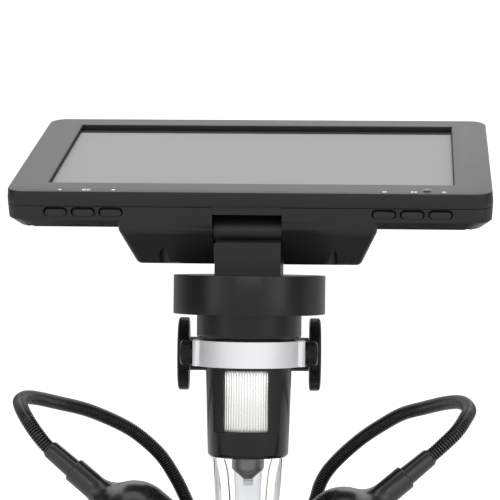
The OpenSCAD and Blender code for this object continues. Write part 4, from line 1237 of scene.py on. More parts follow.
    def _bezel(self) -> None:
        """Builds the upper shell with the sunk frame around the screen."""
        bezel = loft("bezel_frame", [
            (*self._sides(-self.flare), 0, self.depth, self.seam_z),
            (*self._sides(-self.flare), 0, self.depth, self.flare_z),
            (*self._sides(0), self.near_lean, self.depth, 0)])
        bevel(bezel, self.corner_r, 10, climbs)
        bevel(bezel, self.top_edge, 3, lambda e: lies_at(e, Axis.Z, 0))
        left, right = self._sides(self.wall)
        inner = box("inside", (left, self.wall, self.seam_z - 1),
                    (right, self.depth - self.wall, -self.lip))
        bevel(inner, self.corner_r - self.wall, 10, lambda e: runs_along(e, Axis.Z))
        combine(bezel, [inner])
        x0, x1, u0, u1 = self.opening
        combine(bezel, [box("opening", (x0, u0, -self.lip - 1), (x1, u1, 1))])
        bevel(bezel, self.rim_round, 5, lambda e: lies_at(e, Axis.Z, 0) and all(
            x0 - 1 < v.co.x < x1 + 1 and u0 - 1 < v.co.y < u1 + 1 for v in e.verts))
        x, u, r = self.status
        combine(bezel, [rod("status_hole", (x, u, -5), (x, u, 1), r + 0.05, 48)])
        bevel(bezel, 0.15, 2, lambda e: lies_at(e, Axis.Z, self.seam_z)
              and abs(e.calc_face_angle(0)) > 1)
        smooth(bezel)
        hand_over(seat(bezel, self.place), "monitor", "case_black", CASE_BLACK, "bezel")

    def _display(self) -> None:
        """Builds the display with the black mask around its picture, whose wide far band is
        partly painted shade, and black strips up the opening's side walls as painted shade.
        """
        x0, x1, u0, u1 = self.opening
        lap, high = self.panel_lap, self.glass_z
        panel = box("display_panel", (x0 - lap, u0 - lap, self.panel_low),
                    (x1 + lap, u1 + lap, high - 0.05))
        soften(panel, 0.2)
        hand_over(seat(panel, self.place), "monitor", "screen_glass", SCREEN_PAINTED_REFLECTION, "lcd_panel")
        lap, low = self.mask_lap, high - self.mask_t
        mask = box("display_mask", (x0 - lap, u0 - lap, low), (x1 + lap, u1 + lap, high))
        left, right, near, far = self.mask
        combine(mask, [box("picture", (x0 + left, u0 + near, low - 1),
                           (x1 - right, u1 - far, high + 1))])
        half = self.shade_lining_half
        combine(mask, [box("lining", (x - half, u0 + near, low), (x + half, u1, self.shade_lining_z))
                       for x in (x0 + self.shade_lining_in, x1 - self.shade_lining_in)], Join.UNITE)
        soften(mask, 0.02, 1)
        hand_over(seat(mask, self.place), "monitor", "screen_glass", MASK_AND_SHADE_BLACK)

    def _slab(self, name: str, inset: float) -> bpy.types.Object:
        """Builds the slab's form below the seam.

        Args:
            name: Name of the object.
            inset: How far its faces lie inside the outer form.

        Returns:
            The slab.
        """
        k, d = inset, self.depth - inset
        top = self.seam_z + (1 if inset else -self.seam_gap)
        side, near, far = self.chamfer
        slab = loft(name, [
            (*self._sides(k - self.flare), k, d, top),
            (*self._sides(k), k, d, self.fold_z + k / 2),
            (*self._sides(k + side), k + near, d - far, self.bottom_z + k)])
        return bevel(slab, self.corner_r - inset, 10, climbs)

    def _bulge(self, name: str, inset: float) -> bpy.types.Object:
        """Builds the bulge's form below the slab.

        Args:
            name: Name of the object.
            inset: How far its faces lie inside the outer form.

        Returns:
            The bulge.
        """
        k, x, low = inset, self.rear_x, self.bulge[-1][-1]
        return loft(name, [(x - half + k, x + half - k, near + k, far - k,
                            z + (k if z == low else 0)) for half, near, far, z in self.bulge])

    def _rear(self) -> None:
        """Builds the rear case with its bulge, notch, grooves, pockets and vents."""
        outer = self._slab("rear_case", 0)
        k = self.tongue_in
        left, right = self._sides(k)
        tongue = box("tongue", (left, k, self.seam_z - 2), (right, self.depth - k, self.seam_z))
        bevel(tongue, self.corner_r - k, 10, lambda e: runs_along(e, Axis.Z))
        combine(outer, [tongue], Join.UNITE)
        bulge = soften(self._bulge("bulge", 0), self.bulge_round, 4, sharp_deg=20)
        combine(outer, [bulge], Join.UNITE)
        cavity = combine(self._slab("cavity", self.wall), [self._bulge("deep", self.wall)],
                         Join.UNITE)
        mid, side, top = self.rear_x, self.notch_half + self.wall, self.hollow_top
        low = self.bulge[-1][-1]
        floor = low - 2
        combine(cavity, [box("housing", (mid - side, -1, floor),
                             (mid + side, self.housing_u, top))])
        posts = [(s * self.post_x, u) for u in self.post_us for s in (-1, 1)]
        grooves = [(mid + s * self.groove[0], self.groove[1]) for s in (-1, 1)]
        combine(cavity, self._bars(posts, floor, top, self.post_r, 32)
                + self._bars(grooves, floor, top, self.groove_boss_r, 32))
        half = self.notch_half
        combine(outer, [box("notch", (mid - half, -1, floor),
                            (mid + half, self.notch_depth, self.notch_roof))])
        combine(outer, [loft("strip", [(mid - half, mid + half, -1, u, z)
                                       for u, z in self.strip])])
        combine(outer, self._bars(posts, self.screw_low, self.screw_top, self.screw_r, 32))
        combine(outer, self._bars(grooves, floor, self.groove_top, self.groove_r, 48))
        slots = [(self.mid_x + s * self.pry[0], self.pry[1]) for s in (-1, 1)]
        combine(outer, self._bars(slots, self.screw_low, self.pry_top, self.pry_r, 24))
        combine(outer, [self._pocket(x) for x in self._button_xs()])
        (x0, x1), (z0, z1) = self.port_x, self.port_z
        combine(outer, [box("port", (x0, u - self.port_half, z0), (x1, u + self.port_half, z1))
                        for u in self.port_us])
        (near, far), w = self.vent_u, self.vent_half
        combine(outer, [box("vent", (x - w, near, floor), (x + w, far, low + self.vent_depth))
                        for x in [s * (self.vent_x + self.vent_pitch * i)
                                  for i in range(self.vents) for s in (-1, 1)]])
        combine(outer, [cavity])
        soften(outer, 0.18)
        hand_over(seat(outer, self.place), "monitor", "case_black", CASE_BLACK, "rear_shell")

    @staticmethod
    def _bars(places: Sequence[Point], low: float, high: float, radius: float,
              sides: int) -> list[bpy.types.Object]:
        """Builds one upright round bar at each place.

        Args:
            places: Both coordinates of each bar.
            low: Height of their lower ends.
            high: Height of their upper ends.
            radius: Their radius.
            sides: Number of their flat sides.

        Returns:
            The bars.
        """
        return [rod("bar", (x, u, low), (x, u, high), radius, sides) for x, u in places]

    def _button_xs(self) -> list[float]:
        """Middle of each button from left to right."""
        return [self.rear_x + s * self.button_x + i * self.button_pitch
                for s in (-1, 1) for i in (-1, 0, 1)]

    def _pocket(self, x: float) -> bpy.types.Object:
        """Builds the cutter of one button's pocket.

        Args:
            x: Middle of the button.

        Returns:
            The cutter.
        """
        w, low, high = self.pocket
        pocket = box("pocket", (x - w, -1, low), (x + w, self.wall + 0.5, high))
        return bevel(pocket, self.pocket_round, 6, lambda e: runs_along(e, Axis.Y))

    def _buttons(self) -> None:
        """Builds the six push buttons, which sit low in their pockets, from one cap."""
        w, low, high = self.pocket
        side, above = self.button_gap
        face, back = self.button_face, self.wall + 0.1
        wide, tall = self.button_collar
        nodes = ("up", "ok", "down", "mode", "menu", "power")
        for name, x in zip(nodes, self._button_xs()):
            cap = box("cap_" + name, (side - w, face, low + self.button_drop),
                      (w - side, back, high - above))
            bevel(cap, self.button_round, 6, lambda e: runs_along(e, Axis.Y))
            bevel(cap, self.button_edge, 3, lambda e: lies_at(e, Axis.Y, face))
            with editing(cap):
                mark(Part.FACE, lambda f: f.normal.y > 0.9)
                bpy.ops.mesh.extrude_region_move(TRANSFORM_OT_translate={"value": (0, 0, 0)})
                bpy.ops.transform.resize(value=(wide, 1, tall), center_override=(
                    0, back, (low + high) / 2))
                bpy.ops.mesh.extrude_region_move(TRANSFORM_OT_translate={"value": (0, 1, 0)})
            smooth(cap)
            seat(cap, self.place @ Matrix.Translation((x, 0, 0)))
            hand_over(cap, "key_" + name, "case_black", BUTTON_BLACK, "button_" + name)

    def _status_lens(self) -> None:
        """Builds the small domed lens in the bezel."""
        x, u, r = self.status
        lens = lathe("status_dome", [(share * r, z) for share, z in self.status_form] + [
            (r, -0.15, 0.1), (r, -self.lip), (0, -self.lip)], steps=48)
        seat(lens, self.place @ Matrix.Translation((x, u, 0)))
        hand_over(lens, "monitor", "status_cover", STATUS_COVER, "status_lens")

    def _marks(self) -> None:
        """Builds the printed marks behind the buttons as thin raised ink."""
        up, ok, down, snap, menu, power = self.mark_xs
        parts = [self._arrow(up, 1), self._arrow(down, -1)]
        parts += [self._hoop(ok - 0.9, 0.75, 0.36, 1.35)] + self._letter_k(ok + 0.25)
        parts += [self._hoop(snap, 0.85, 0.45)] + self._letter_m(menu) + self._power(power)
        marks = joined(parts)
        marks.name = "printed_marks"
        seat(marks, self.place @ Matrix.Translation((0, self.marks_u, 0)))
        hand_over(marks, "monitor", "stage_plastic", PRINT_WHITE)

    def _bar(self, x0: float, x1: float, y0: float, y1: float) -> bpy.types.Object:
        """Builds one bar of ink between two corners."""
        return box("ink", (x0, y0, self.ink[0]), (x1, y1, self.ink[1]))

    def _arrow(self, x: float, way: int) -> bpy.types.Object:
        """Builds a triangle that points to the far edge (way 1) or the near edge (way -1)."""
        low, high = self.ink
        bpy.ops.object.select_all(action="DESELECT")
        bpy.ops.mesh.primitive_cylinder_add(vertices=3, radius=0.95, depth=high - low,
                                            location=(x, 0, (low + high) / 2))
        arrow = fresh("ink")
        if way < 0:
            seat(arrow, Matrix.Translation((x, 0, 0)) @ Matrix.Rotation(math.pi, 4, "Z")
                 @ Matrix.Translation((-x, 0, 0)))
        return arrow

    def _hoop(self, x: float, radius: float, width: float,
              tall: float = 1.0) -> bpy.types.Object:
        """Builds a ring of ink.

        Args:
            x: Its middle.
            radius: Its outer radius.
            width: Width of its line.
            tall: Its height against its width.

        Returns:
            The ring.
        """
        (low, high), hole = self.ink, radius - width
        hoop = lathe("ink", [(hole, low), (radius, low), (radius, high), (hole, high),
                             (hole, low)], steps=32)
        return seat(hoop, Matrix.Translation((x, 0, 0)) @ Matrix.Diagonal((1, tall, 1, 1)))

    def _letter_k(self, x: float) -> list[bpy.types.Object]:
        """Builds the letter K from a stem and two arms."""
        arms = []
        for way in (1, -1):
            arm = self._bar(0, 1.35, -0.2, 0.2)
            arms.append(seat(arm, Matrix.Translation((x + 0.3, 0, 0))
                             @ Matrix.Rotation(way * math.radians(42), 4, "Z")))
        return [self._bar(x, x + 0.42, -1.02, 1.02)] + arms

    def _letter_m(self, x: float) -> list[bpy.types.Object]:
        """Builds the letter M from two stems and two slopes."""
        slopes = []
        for way in (1, -1):
            slope = self._bar(-0.18, 0.18, -0.75, 0.75)
            slopes.append(seat(slope, Matrix.Translation((x + way * 0.42, 0.25, 0))
                               @ Matrix.Rotation(way * math.radians(-28), 4, "Z")))
        return [self._bar(x - 1, x - 0.6, -1, 1), self._bar(x + 0.6, x + 1, -1, 1)] + slopes

    def _power(self, x: float) -> list[bpy.types.Object]:
        """Builds a ring with a stroke at its top."""
        return [self._hoop(x, 0.8, 0.36), self._bar(x - 0.2, x + 0.2, 0.3, 1.25)]


@dataclass
class Clamp:
    """Bright ring on the focus block, with its thumb screws."""

    mid_z: float = 115.5
    lug_x: float = 21.4
    head_x: float = 21.5
    head_r: float = 4.95
    head_len: float = 4.8
    thread_r: float = 2.0
    thread_x: float = 16.9
    lug_chamfer: float = 1.1
    rib_in: float = 0.28
    rib_r: float = 0.29
    ribs: int = 40

    def build(self, frame: dict) -> None:
        """Builds and dresses the ring and the thumb screws.
        """
        ring = borrow(frame, "clamp_ring", "ring_holder")
        bevel(ring, self.lug_chamfer, 1, lambda e: runs_along(e, Axis.Z)
              and all(abs(abs(v.co.x) - self.lug_x) < 0.1 for v in e.verts))
        soften(ring, 0.3, 3)
        hand_over(ring, "carriage", "ring_aluminium", RING_SATIN, "ring_holder")
        for side in Side:
            self._thumb_screw(side)
        redress(frame, SCREW_STEEL, "flange_screws")

    def _thumb_screw(self, side: Side) -> None:
        """Builds one thumb screw with a ribbed head.

        Args:
            side: Side that it is on.
        """
        z, r, top = self.head_x, self.head_r - self.rib_in, self.head_x + self.head_len
        screw = lathe("thumb_screw_head_" + side.word, [
            (0, self.thread_x), (self.thread_r, self.thread_x, 0.3), (self.thread_r, z),
            (self.head_r - 0.15, z, 0.25), (self.head_r - 0.15, z + 0.8, 0.15), (r, z + 0.85),
            (r, top, 1.6), (0, top)], steps=80)
        rib = rod("rib", (0, 0, z + 0.8), (0, 0, top - 1.3), self.rib_r, 8)
        rib_end = rod("rib_end", (0, 0, top - 1.3), (-0.75, 0, top - 0.28), self.rib_r, 8, 0.12)
        rib = joined([rib, rib_end])
        smooth(rib)
        screw = joined([screw, repeated(rib, ring_of(self.ribs, r))])
        turn = Matrix.Rotation(side.value * math.pi / 2, 4, "Y")
        seat(screw, Matrix.Translation((0, 0, self.mid_z)) @ turn)
        hand_over(screw, "clamp_" + side.word, "knob_black", KNOB_BLACK,
                  "thumb_screw_" + side.word)


@dataclass
class FocusDrive:
    """Block on the column with its pinion shaft and knobs."""

    pinion_y: float = 32.5
    pinion_z: float = 113.5
    knob_x: float = 23.7
    knob_r: float = 14.4
    knob_t: float = 4.6
    boss: tuple[float, float] = (2.5, 3.6)
    tooth_in: float = 0.3
    tooth_r: float = 0.34
    teeth: int = 100

    def build(self, frame: dict) -> None:
        """Builds and dresses the drive's pieces.
        """
        block = soften(borrow(frame, "focus_slide_block", "focus_block"), 0.5, 3)
        hand_over(block, "carriage", "cast_black", CAST_BLACK, "focus_block")
        for side in Side:
            self._knob(side)
        redress(frame, BUSH_BRASS, "shaft_bushes")
        redress(frame, SHAFT_STEEL, "pinion_shaft")

    def _knob(self, side: Side) -> None:
        """Builds one focus knob with a fine knurl around its rim.

        Args:
            side: Side that it is on.
        """
        r, t, width = self.knob_r - self.tooth_in, self.knob_t, self.tooth_r
        boss_r, boss_z = self.boss
        knob = lathe("focus_knob_" + side.word, [
            (0, boss_z), (boss_r, boss_z), (boss_r, 0), (r, 0, 0.5), (r, t - 0.35, 1.0),
            (r - 2.0, t - 0.1), (0, t)], steps=120)
        tooth = rod("tooth", (0, 0, 0.35), (0, 0, t - 1.15), width, 6)
        tooth_end = rod("tooth_end", (0, 0, t - 1.15), (-0.5, 0, t - 0.45), width, 6, 0.14)
        tooth = joined([tooth, tooth_end])
        smooth(tooth)
        knob = joined([knob, repeated(tooth, ring_of(self.teeth, r - 0.03))])
        turn = Matrix.Rotation(side.value * math.pi / 2, 4, "Y")
        seat(knob, Matrix.Translation((0, self.pinion_y, self.pinion_z)) @ turn
             @ Matrix.Translation((0, 0, self.knob_x)))
        hand_over(knob, "focus_knobs", "knob_black", KNOB_BLACK, "knob_" + side.word)


@dataclass
class Stand:
    """Base, stage plate, column and the arms' sockets."""

    softened: tuple[tuple[str, str, str, Finish, float], ...] = (
        ("base_plate", "base_casting", "base_paint", BASE_PAINT, 1.2),
        ("base_pad", "base_foot_pad", "pad_rubber", PAD_RUBBER, 0.3),
        ("stage_plate", "stage_disc", "stage_plastic", STAGE_WHITE, 0.3),
        ("column", "column_profile", "column_aluminium", COLUMN_SATIN, 0.25),
        ("column_foot", "column_shoe", "cast_black", CAST_BLACK, 0.8),
        ("column_cap", "column_end_cap", "cast_black", CAST_BLACK, 0.5),
        ("arm_sockets", "arm_sockets_pair", "cast_black", CAST_BLACK, 0.6),
        ("lamp_jack", "lamp_jack_shell", "cast_black", CAST_BLACK, 0.25),
        ("foot_screws", "foot_screw_set", "screw_steel", SCREW_STEEL, 0.2),
    )

    def build(self, frame: dict) -> None:
        """Softens and dresses the stand's solids.
        """
        for node, name, slot, finish, width in self.softened:
            piece = soften(borrow(frame, name, node), width, 3)
            hand_over(piece, "stand", slot, finish, node)
        redress(frame, RACK_STEEL, "rack")


LEFT_ROUTE = ((0, 0, 9.5), (0, 0, 19.5), (-1.5, -0.5, 28.5), (-5, -2, 38), (-9.5, -5, 47.5),
              (-15.5, -9, 57), (-24, -15, 65.5), (-32, -21, 71), (-43.5, -31, 76.8),
              (-54, -42, 80.4), (-64.2, -58, 83.8), (-67.2, -68, 83.3), (-66, -75, 80.8),
              (-62.9, -81, 76.6), (-58.4, -84.6, 71), (-54.1, -86, 66.5))
RIGHT_ROUTE = ((0, 0, 9.5), (0, 0, 19.5), (2.5, -0.5, 28.5), (6.5, -2, 38), (8.5, -4, 45),
               (12, -6.5, 51.5), (18.5, -11, 59), (26, -16, 66), (34, -22, 72),
               (41, -28, 76.5), (49, -36, 79.5), (57, -48, 82.5), (62, -60, 83.5),
               (64, -70, 81.5), (62, -77, 78.5), (58.3, -82, 74), (53.4, -84.6, 69.5),
               (48.1, -86, 64.9))


@dataclass
class LampArm:
    """One gooseneck with its collar and its lamp.

    The route is given from the foot of its socket, and the lamp's sizes along its light.
    """

    side: Side
    route: Sequence[Point]
    socket: tuple[float, float, float] = (21.0, 78.0, 12.5)
    pitch_deg: float = 38.0
    yaw_deg: float = 14.0
    neck_r: float = 4.8
    dome_r: float = 15.6
    fillet: float = 10.0
    seam: float = 43.0
    sleeve_len: float = 12.2
    sleeve_r: float = 3.8
    ring_len: float = 8.0
    wall: float = 1.8
    tube_r: float = 2.8
    rib_pitch: float = 1.1
    rib_depth: float = 0.6
    rib_form: tuple[tuple[float, float], ...] = (
        (0.08, 0.5), (0.17, 0.9), (0.25, 1.0), (0.25, 0.9), (0.17, 0.5), (0.08, 0.0))
    tip_points: int = 3
    collar_form: tuple[Point, ...] = (
        (0, 2), (4.45, 2, 0.2), (4.45, 8.1), (5.5, 8.1, 0.4), (5.5, 10.6), (5.2, 10.8),
        (5.2, 11.6), (5.5, 11.8), (5.5, 17.1, 0.4), (3.75, 19.1, 0.3), (2.7, 19.1), (2.7, 15),
        (0, 15))
    lens_rings: int = 9

    @property
    def base(self) -> Matrix:
        """Where the arm's socket stands."""
        x, y, z = self.socket
        return Matrix.Translation((self.side.value * x, y, z))

    @property
    def lamp_place(self) -> Matrix:
        """Where the lamp stands: its own Z runs along its light."""
        yaw = -self.yaw_deg if self.side is Side.LEFT else 180 + self.yaw_deg
        return (self.base @ Matrix.Translation(self.route[-1])
                @ Matrix.Rotation(math.radians(yaw), 4, "Z")
                @ Matrix.Rotation(math.radians(90 + self.pitch_deg), 4, "Y"))

    def build(self, frame: dict) -> None:
        """Builds and dresses the arm's pieces.
        """
        word = self.side.word
        self._collar()
        split = len(self.route) - self.tip_points
        arm = self._ribbed("gooseneck_ribs_" + word, 0, split)
        hand_over(arm, "arm_" + word, "gooseneck_black", GOOSENECK_BLACK, "gooseneck_" + word)
        tip = self._ribbed("gooseneck_bend_" + word, split, len(self.route) - 1)
        self._hand_over_tip(tip)
        self._shell()
        self._front_ring()
        self._lens()
        redress(frame, BOARD_GREEN, "lamp_led_" + word)

    def _hand_over_tip(self, tip: bpy.types.Object) -> None:
        """Dresses the bending tip and writes its place into its mesh; it rides on no body.

        Args:
            tip: The tip in millimetres.
        """
        word = self.side.word
        dress(tip, GOOSENECK_BLACK)
        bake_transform(tip)
        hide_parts("gooseneck_tip_" + word)
        log.info("%s bends between arm_%s and lamp_%s", tip.name, word, word)

    def _guide(self, first: int, last: int) -> bpy.types.Object:
        """Builds the curve that a ribbed tube follows.

        Args:
            first: Index of the route's first point on it.
            last: Index of the route's last point on it.

        Returns:
            The curve object.
        """
        points = [Vector(p) for p in self.route]
        end = len(points) - 1
        light = (self.lamp_place.to_3x3() @ Vector((0, 0, 1))).normalized()
        bpy.ops.object.select_all(action="DESELECT")
        bpy.ops.curve.primitive_bezier_curve_add()
        guide = bpy.context.object
        guide.matrix_world = Matrix.Identity(4)
        guide.data.resolution_u = 24
        spline = guide.data.splines[0]
        spline.bezier_points.add(last - first - 1)
        for i in range(first, last + 1):
            reach = (points[min(i + 1, end)] - points[max(i - 1, 0)]) / 6
            if i == end:
                reach = light * (points[end] - points[end - 1]).length / 3
            knot = spline.bezier_points[i - first]
            knot.handle_left_type = knot.handle_right_type = "FREE"
            knot.co = points[i]
            knot.handle_left = points[i] - reach
            knot.handle_right = points[i] + reach
        return guide

    def _ribbed(self, name: str, first: int, last: int) -> bpy.types.Object:
        """Builds a ribbed tube along part of the route.

        Args:
            name: Name of the piece.
            first: Index of the route's first point on it.
            last: Index of the route's last point on it.

        Returns:
            The tube in millimetres.
        """
        guide = self._guide(first, last)
        length = guide.data.splines[0].calc_length(resolution=64)
        count = round(length / self.rib_pitch)
        pitch = length / count
        valley = self.tube_r - self.rib_depth
        bpy.ops.object.select_all(action="DESELECT")
        bpy.ops.mesh.primitive_circle_add(vertices=20, radius=valley,
                                          rotation=(0, math.pi / 2, 0))
        rib = fresh(name)
        with editing(rib, Part.EDGE):
            radius = valley
            for step, part in self.rib_form:
                wide = valley + part * self.rib_depth
                bpy.ops.mesh.extrude_region_move(
                    TRANSFORM_OT_translate={"value": (step * pitch, 0, 0)})
                bpy.ops.transform.resize(value=(1, wide / radius, wide / radius),
                                         center_override=(0, 0, 0))
                radius = wide
        row = rib.modifiers.new("row", "ARRAY")
        row.count = count
        row.use_relative_offset = False
        row.use_constant_offset = True
        row.constant_offset_displace = (pitch, 0, 0)
        row.use_merge_vertices = True
        row.merge_threshold = NEAR
        follow = rib.modifiers.new("follow", "CURVE")
        follow.object = guide
        pick(rib)
        bpy.ops.object.modifier_apply(modifier=row.name)
        bpy.ops.object.modifier_apply(modifier=follow.name)
        with editing(rib, Part.EDGE):
            mark(Part.EDGE, lambda e: e.is_boundary)
            bpy.ops.mesh.edge_face_add()
            bpy.ops.mesh.select_all(action="SELECT")
            bpy.ops.mesh.normals_make_consistent(inside=False)
        smooth(rib)
        bpy.data.objects.remove(guide, do_unlink=True)
        return seat(rib, self.base)

    def _collar(self) -> None:
        """Builds the collar that turns in the socket and grips the gooseneck."""
        word = self.side.word
        collar = lathe("arm_grip_" + word, self.collar_form, steps=64)
        seat(collar, self.base)
        hand_over(collar, "arm_" + word, "cast_black", CAST_BLACK, "arm_collar_" + word)

    def _shell(self) -> None:
        """Builds the lamp's sleeve, neck and dome in one turned shell."""
        grow = self.dome_r + self.fillet
        low = self.seam - math.sqrt(grow ** 2 - (self.neck_r + self.fillet) ** 2)
        meet = self.seam - (self.seam - low) * self.dome_r / grow
        swing = math.asin((meet - low) / self.fillet)
        curve = [(self.neck_r + self.fillet * (1 - math.cos(swing * k / 10)),
                  low + self.fillet * math.sin(swing * k / 10)) for k in range(11)]
        start = math.acos((self.seam - meet) / self.dome_r)
        turns = [start + (math.pi / 2 - start) * k / 16 for k in range(1, 17)]
        dome = [(self.dome_r * math.sin(a), self.seam - self.dome_r * math.cos(a))
                for a in turns]
        inner = self.dome_r - self.wall
        hollow = [(inner * math.cos(a), self.seam - 0.05 - inner * math.sin(a))
                  for a in [math.pi / 2 * k / 14 for k in range(15)]]
        dome[-1] = (dome[-1][0], self.seam - 0.05)
        profile: list[Point] = [
            (0, 0), (self.sleeve_r - 0.55, 0, 0.3), (self.sleeve_r - 0.3, 0.9, 0.3),
            (self.sleeve_r, self.sleeve_len), (self.neck_r, self.sleeve_len, 0.8)]
        profile += curve + dome + hollow
        shell = lathe("lamp_dome_" + self.side.word, profile, steps=112)
        seat(shell, self.lamp_place)
        hand_over(shell, "lamp_" + self.side.word, "lamp_black", LAMP_BLACK,
                  "lamp_shell_" + self.side.word)

    def _front_ring(self) -> None:
        """Builds the ring that closes the lamp around its lens."""
        low, high, r = self.seam + 0.12, self.seam + self.ring_len, self.dome_r
        inner = r - self.wall
        ring = lathe("lamp_rim_" + self.side.word, [
            (inner, low), (r, low, 0.2), (r, high - 0.2, 0.9), (r - 0.9, high, 0.3),
            (inner + 0.3, high, 0.2), (inner, high - 0.4), (inner, low)], steps=112)
        seat(ring, self.lamp_place)
        hand_over(ring, "lamp_" + self.side.word, "lamp_black", LAMP_BLACK,
                  "lamp_ring_" + self.side.word)

    def _lens(self) -> None:
        """Builds the frosted lens with fine rings on its outer face."""
        r, high = self.dome_r - self.wall - 0.03, self.seam + self.ring_len - 0.5
        outer: list[Point] = [(0, high)]
        for i in range(1, self.lens_rings):
            ring_r = i * r / self.lens_rings
            outer += [(ring_r - 0.35, high - 0.02), (ring_r, high - 0.28),
                      (ring_r + 0.35, high - 0.02)]
        outer += [(r, high - 0.05), (r, high - 2), (0, high - 2)]
        lens = lathe("lamp_window_" + self.side.word, outer, steps=96)
        seat(lens, self.lamp_place)
        hand_over(lens, "lamp_" + self.side.word, "lamp_lens_clear", LAMP_FROST,
                  "lamp_lens_" + self.side.word)


# ---------- studio ----------


@dataclass(frozen=True)
class Softbox:
    """One soft rectangular light, in metres and watts."""

    name: str
    place: Point
    size: tuple[float, float]
    power: float
    target: Point = (0, 0, 0.1)

    def build(self) -> None:
        """Adds the light, turned to its target."""
        bpy.ops.object.light_add(type="AREA")
        light = bpy.context.object
        light.name = self.name
        light.data.shape = "RECTANGLE"
        light.data.size, light.data.size_y = self.size
        light.data.energy = self.power
        light.visible_camera = False
        way = Vector(self.target) - Vector(self.place)
        turn = way.to_track_quat("-Z", "Y").to_matrix().to_4x4()
        light.matrix_world = Matrix.Translation(self.place) @ turn


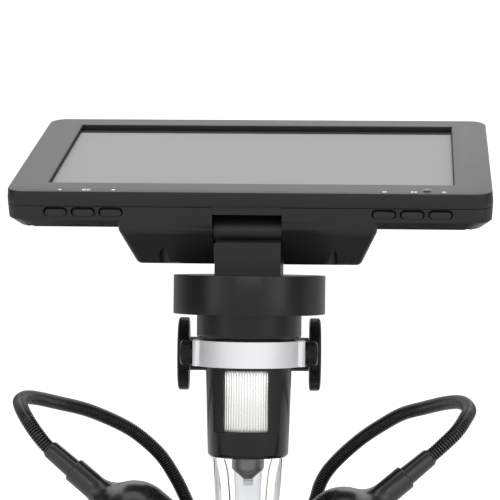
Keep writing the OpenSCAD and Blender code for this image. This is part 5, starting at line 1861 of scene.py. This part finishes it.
@dataclass
class Studio:
    """Camera, floor, sky and lights."""

    eye: Point = (5.7375, -867.123, 159.53)
    ahead: Point = (-0.00654941, 0.99996391, -0.0054114)
    right: Point = (0.99993524, 0.00659939, 0.00927189)
    up: Point = (-0.00930727, 0.00535032, 0.99994237)
    lens_mm: float = 163.47
    sensor_mm: float = 36.0
    floor_half: float = 0.8
    floor_bounce: float = 0.7
    floor_lift: float = 0.25
    floor_shown: float = 0.8
    floor_glow: float = 0.45
    sky_plain: float = 1.15
    sky_around: tuple[tuple[float, float], ...] = (
        (-90, 0.3), (-78, 0.3), (-67, 0.9), (-58, 2.1), (-50, 2.1), (-40, 1.4), (-20, 1.12),
        (15, 1.12), (28, 1.5), (36, 2.2), (50, 2.5), (58, 1.3), (66, 0.75), (84, 0.5),
        (100, 0.85), (118, 0.7), (137, 0.65), (160, 0.5), (180, 0.4), (200, 0.35), (231, 0.5),
        (257, 0.34), (270, 0.3))
    sky_rise: tuple[tuple[float, float], ...] = (
        (0.0, 1.0), (0.35, 1.0), (0.75, 0.45), (1.0, 0.4))
    crown_way: Point = (0.0, 0.835, 0.55)
    crown: tuple[tuple[float, float], ...] = (
        (0.0, 0.0), (0.6, 0.0), (0.75, 1.15), (1.0, 1.15))
    crown_rise: tuple[tuple[float, float], ...] = (
        (0.0, 0.0), (0.15, 0.0), (0.8, 1.75), (1.0, 1.75))
    softboxes: tuple[Softbox, ...] = (
        Softbox("overhead_softbox", (0, 0.1, 1.6), (1.6, 1.2), 9.0),
        Softbox("front_softbox", (0, -1.15, 0.44), (0.8, 0.35), 2.0))

    def build(self) -> None:
        """Sets up everything around the instrument."""
        self._camera()
        self._floor()
        self._sky()
        for softbox in self.softboxes:
            softbox.build()
        bpy.context.scene.view_settings.view_transform = "Standard"

    def _camera(self) -> None:
        """Adds the camera at its fitted place."""
        bpy.ops.object.camera_add()
        camera = bpy.context.object
        camera.name = "camera"
        camera.data.sensor_width = self.sensor_mm
        camera.data.lens = self.lens_mm
        camera.data.clip_end = 100
        turn = Matrix((self.right, self.up, [-c for c in self.ahead])).transposed().to_4x4()
        camera.matrix_world = Matrix.Translation(Vector(self.eye) * MM) @ turn
        bpy.context.scene.camera = camera

    def _floor(self) -> None:
        """Adds the pale floor, which throws back less light than it shows."""
        bpy.ops.object.select_all(action="DESELECT")
        bpy.ops.mesh.primitive_plane_add(size=2 * self.floor_half)
        floor = fresh("floor")
        material = bpy.data.materials.new("floor_pale")
        material.use_nodes = True
        tree = material.node_tree
        tree.nodes.clear()
        out = tree.nodes.new("ShaderNodeOutputMaterial")
        lit, bounced = (tree.nodes.new("ShaderNodeBsdfDiffuse") for _ in range(2))
        lit.inputs["Color"].default_value = (*[self.floor_shown] * 3, 1)
        bounced.inputs["Color"].default_value = (*[self.floor_bounce] * 3, 1)
        shown, lifted = (self._with_glow(tree, shader, level) for shader, level in (
            (lit, self.floor_glow), (bounced, self.floor_lift)))
        choose = tree.nodes.new("ShaderNodeMixShader")
        tree.links.new(self._looked_at(tree), choose.inputs["Fac"])
        tree.links.new(lifted.outputs[0], choose.inputs[1])
        tree.links.new(shown.outputs[0], choose.inputs[2])
        tree.links.new(choose.outputs[0], out.inputs["Surface"])
        floor.data.materials.append(material)

    @staticmethod
    def _with_glow(tree: bpy.types.NodeTree, shader: bpy.types.Node,
                   level: float) -> bpy.types.Node:
        """Adds a glow to a shader.

        Args:
            tree: Material tree.
            shader: The shader.
            level: Strength of the glow.

        Returns:
            The node that adds both.
        """
        glow = tree.nodes.new("ShaderNodeEmission")
        glow.inputs["Strength"].default_value = level
        both = tree.nodes.new("ShaderNodeAddShader")
        tree.links.new(shader.outputs[0], both.inputs[0])
        tree.links.new(glow.outputs[0], both.inputs[1])
        return both

    @staticmethod
    def _looked_at(tree: bpy.types.NodeTree) -> bpy.types.NodeSocket:
        """Gives 1 for what is seen directly or through glass, and 0 for light on its way."""
        path = tree.nodes.new("ShaderNodeLightPath")
        return Effects.calc(tree, "MAXIMUM", path.outputs["Is Camera Ray"],
                            path.outputs["Is Transmission Ray"])

    def _sky(self) -> None:
        """Makes the sky white to the eye and gives reflections soft bright and dark sides."""
        world = bpy.data.worlds.new("sky")
        bpy.context.scene.world = world
        world.use_nodes = True
        tree = world.node_tree
        tree.nodes.clear()
        out = tree.nodes.new("ShaderNodeOutputWorld")
        sky = tree.nodes.new("ShaderNodeBackground")
        where = tree.nodes.new("ShaderNodeTexCoord").outputs["Generated"]
        around = tree.nodes.new("ShaderNodeTexGradient")
        around.gradient_type = "RADIAL"
        tree.links.new(where, around.inputs["Vector"])
        split = tree.nodes.new("ShaderNodeSeparateXYZ")
        tree.links.new(where, split.inputs[0])
        toward = tree.nodes.new("ShaderNodeVectorMath")
        toward.operation = "DOT_PRODUCT"
        toward.inputs[1].default_value = self.crown_way
        tree.links.new(where, toward.inputs[0])
        sides = self._ramp(tree, around.outputs["Fac"],
                           [(0.25 + turn / 360, level) for turn, level in self.sky_around])
        rise = self._ramp(tree, split.outputs["Z"], self.sky_rise)
        crown = self._ramp(tree, toward.outputs["Value"], self.crown)
        lifted = self._ramp(tree, split.outputs["Z"], self.crown_rise)
        low = Effects.calc(tree, "MULTIPLY", sides, rise)
        mirrored = Effects.calc(tree, "MULTIPLY_ADD", crown, lifted, low)
        level = tree.nodes.new("ShaderNodeMix")
        tree.links.new(self._looked_at(tree), level.inputs["Factor"])
        tree.links.new(mirrored, level.inputs["A"])
        level.inputs["B"].default_value = self.sky_plain
        tree.links.new(level.outputs["Result"], sky.inputs["Strength"])
        tree.links.new(sky.outputs[0], out.inputs["Surface"])
        sky.inputs["Color"].default_value = (1, 1, 1, 1)

    @staticmethod
    def _ramp(tree: bpy.types.NodeTree, value: bpy.types.NodeSocket,
              stops: Sequence[tuple[float, float]]) -> bpy.types.NodeSocket:
        """Adds a ramp of grey levels.

        Args:
            tree: World tree.
            value: Where the ramp is read.
            stops: Position and level of each stop; levels may be above 1.

        Returns:
            The socket with the level.
        """
        ramp = tree.nodes.new("ShaderNodeValToRGB")
        for _ in stops[2:]:
            ramp.color_ramp.elements.new(0.5)
        for element, (position, level) in zip(ramp.color_ramp.elements, stops):
            element.position = position
            element.color = (level, level, level, 1)
        tree.links.new(value, ramp.inputs["Fac"])
        return ramp.outputs["Color"]


def main() -> None:
    """Builds the looks in order."""
    logging.basicConfig(level=logging.INFO, format="%(name)s: %(message)s")
    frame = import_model()
    head = Head()
    head.build(frame)
    Monitor(head=head).build(frame)
    Clamp().build(frame)
    FocusDrive().build(frame)
    Stand().build(frame)
    LampArm(Side.LEFT, LEFT_ROUTE).build(frame)
    LampArm(Side.RIGHT, RIGHT_ROUTE).build(frame)
    Studio().build()
    log.info("sizes written")


if __name__ == "__main__":
    main()
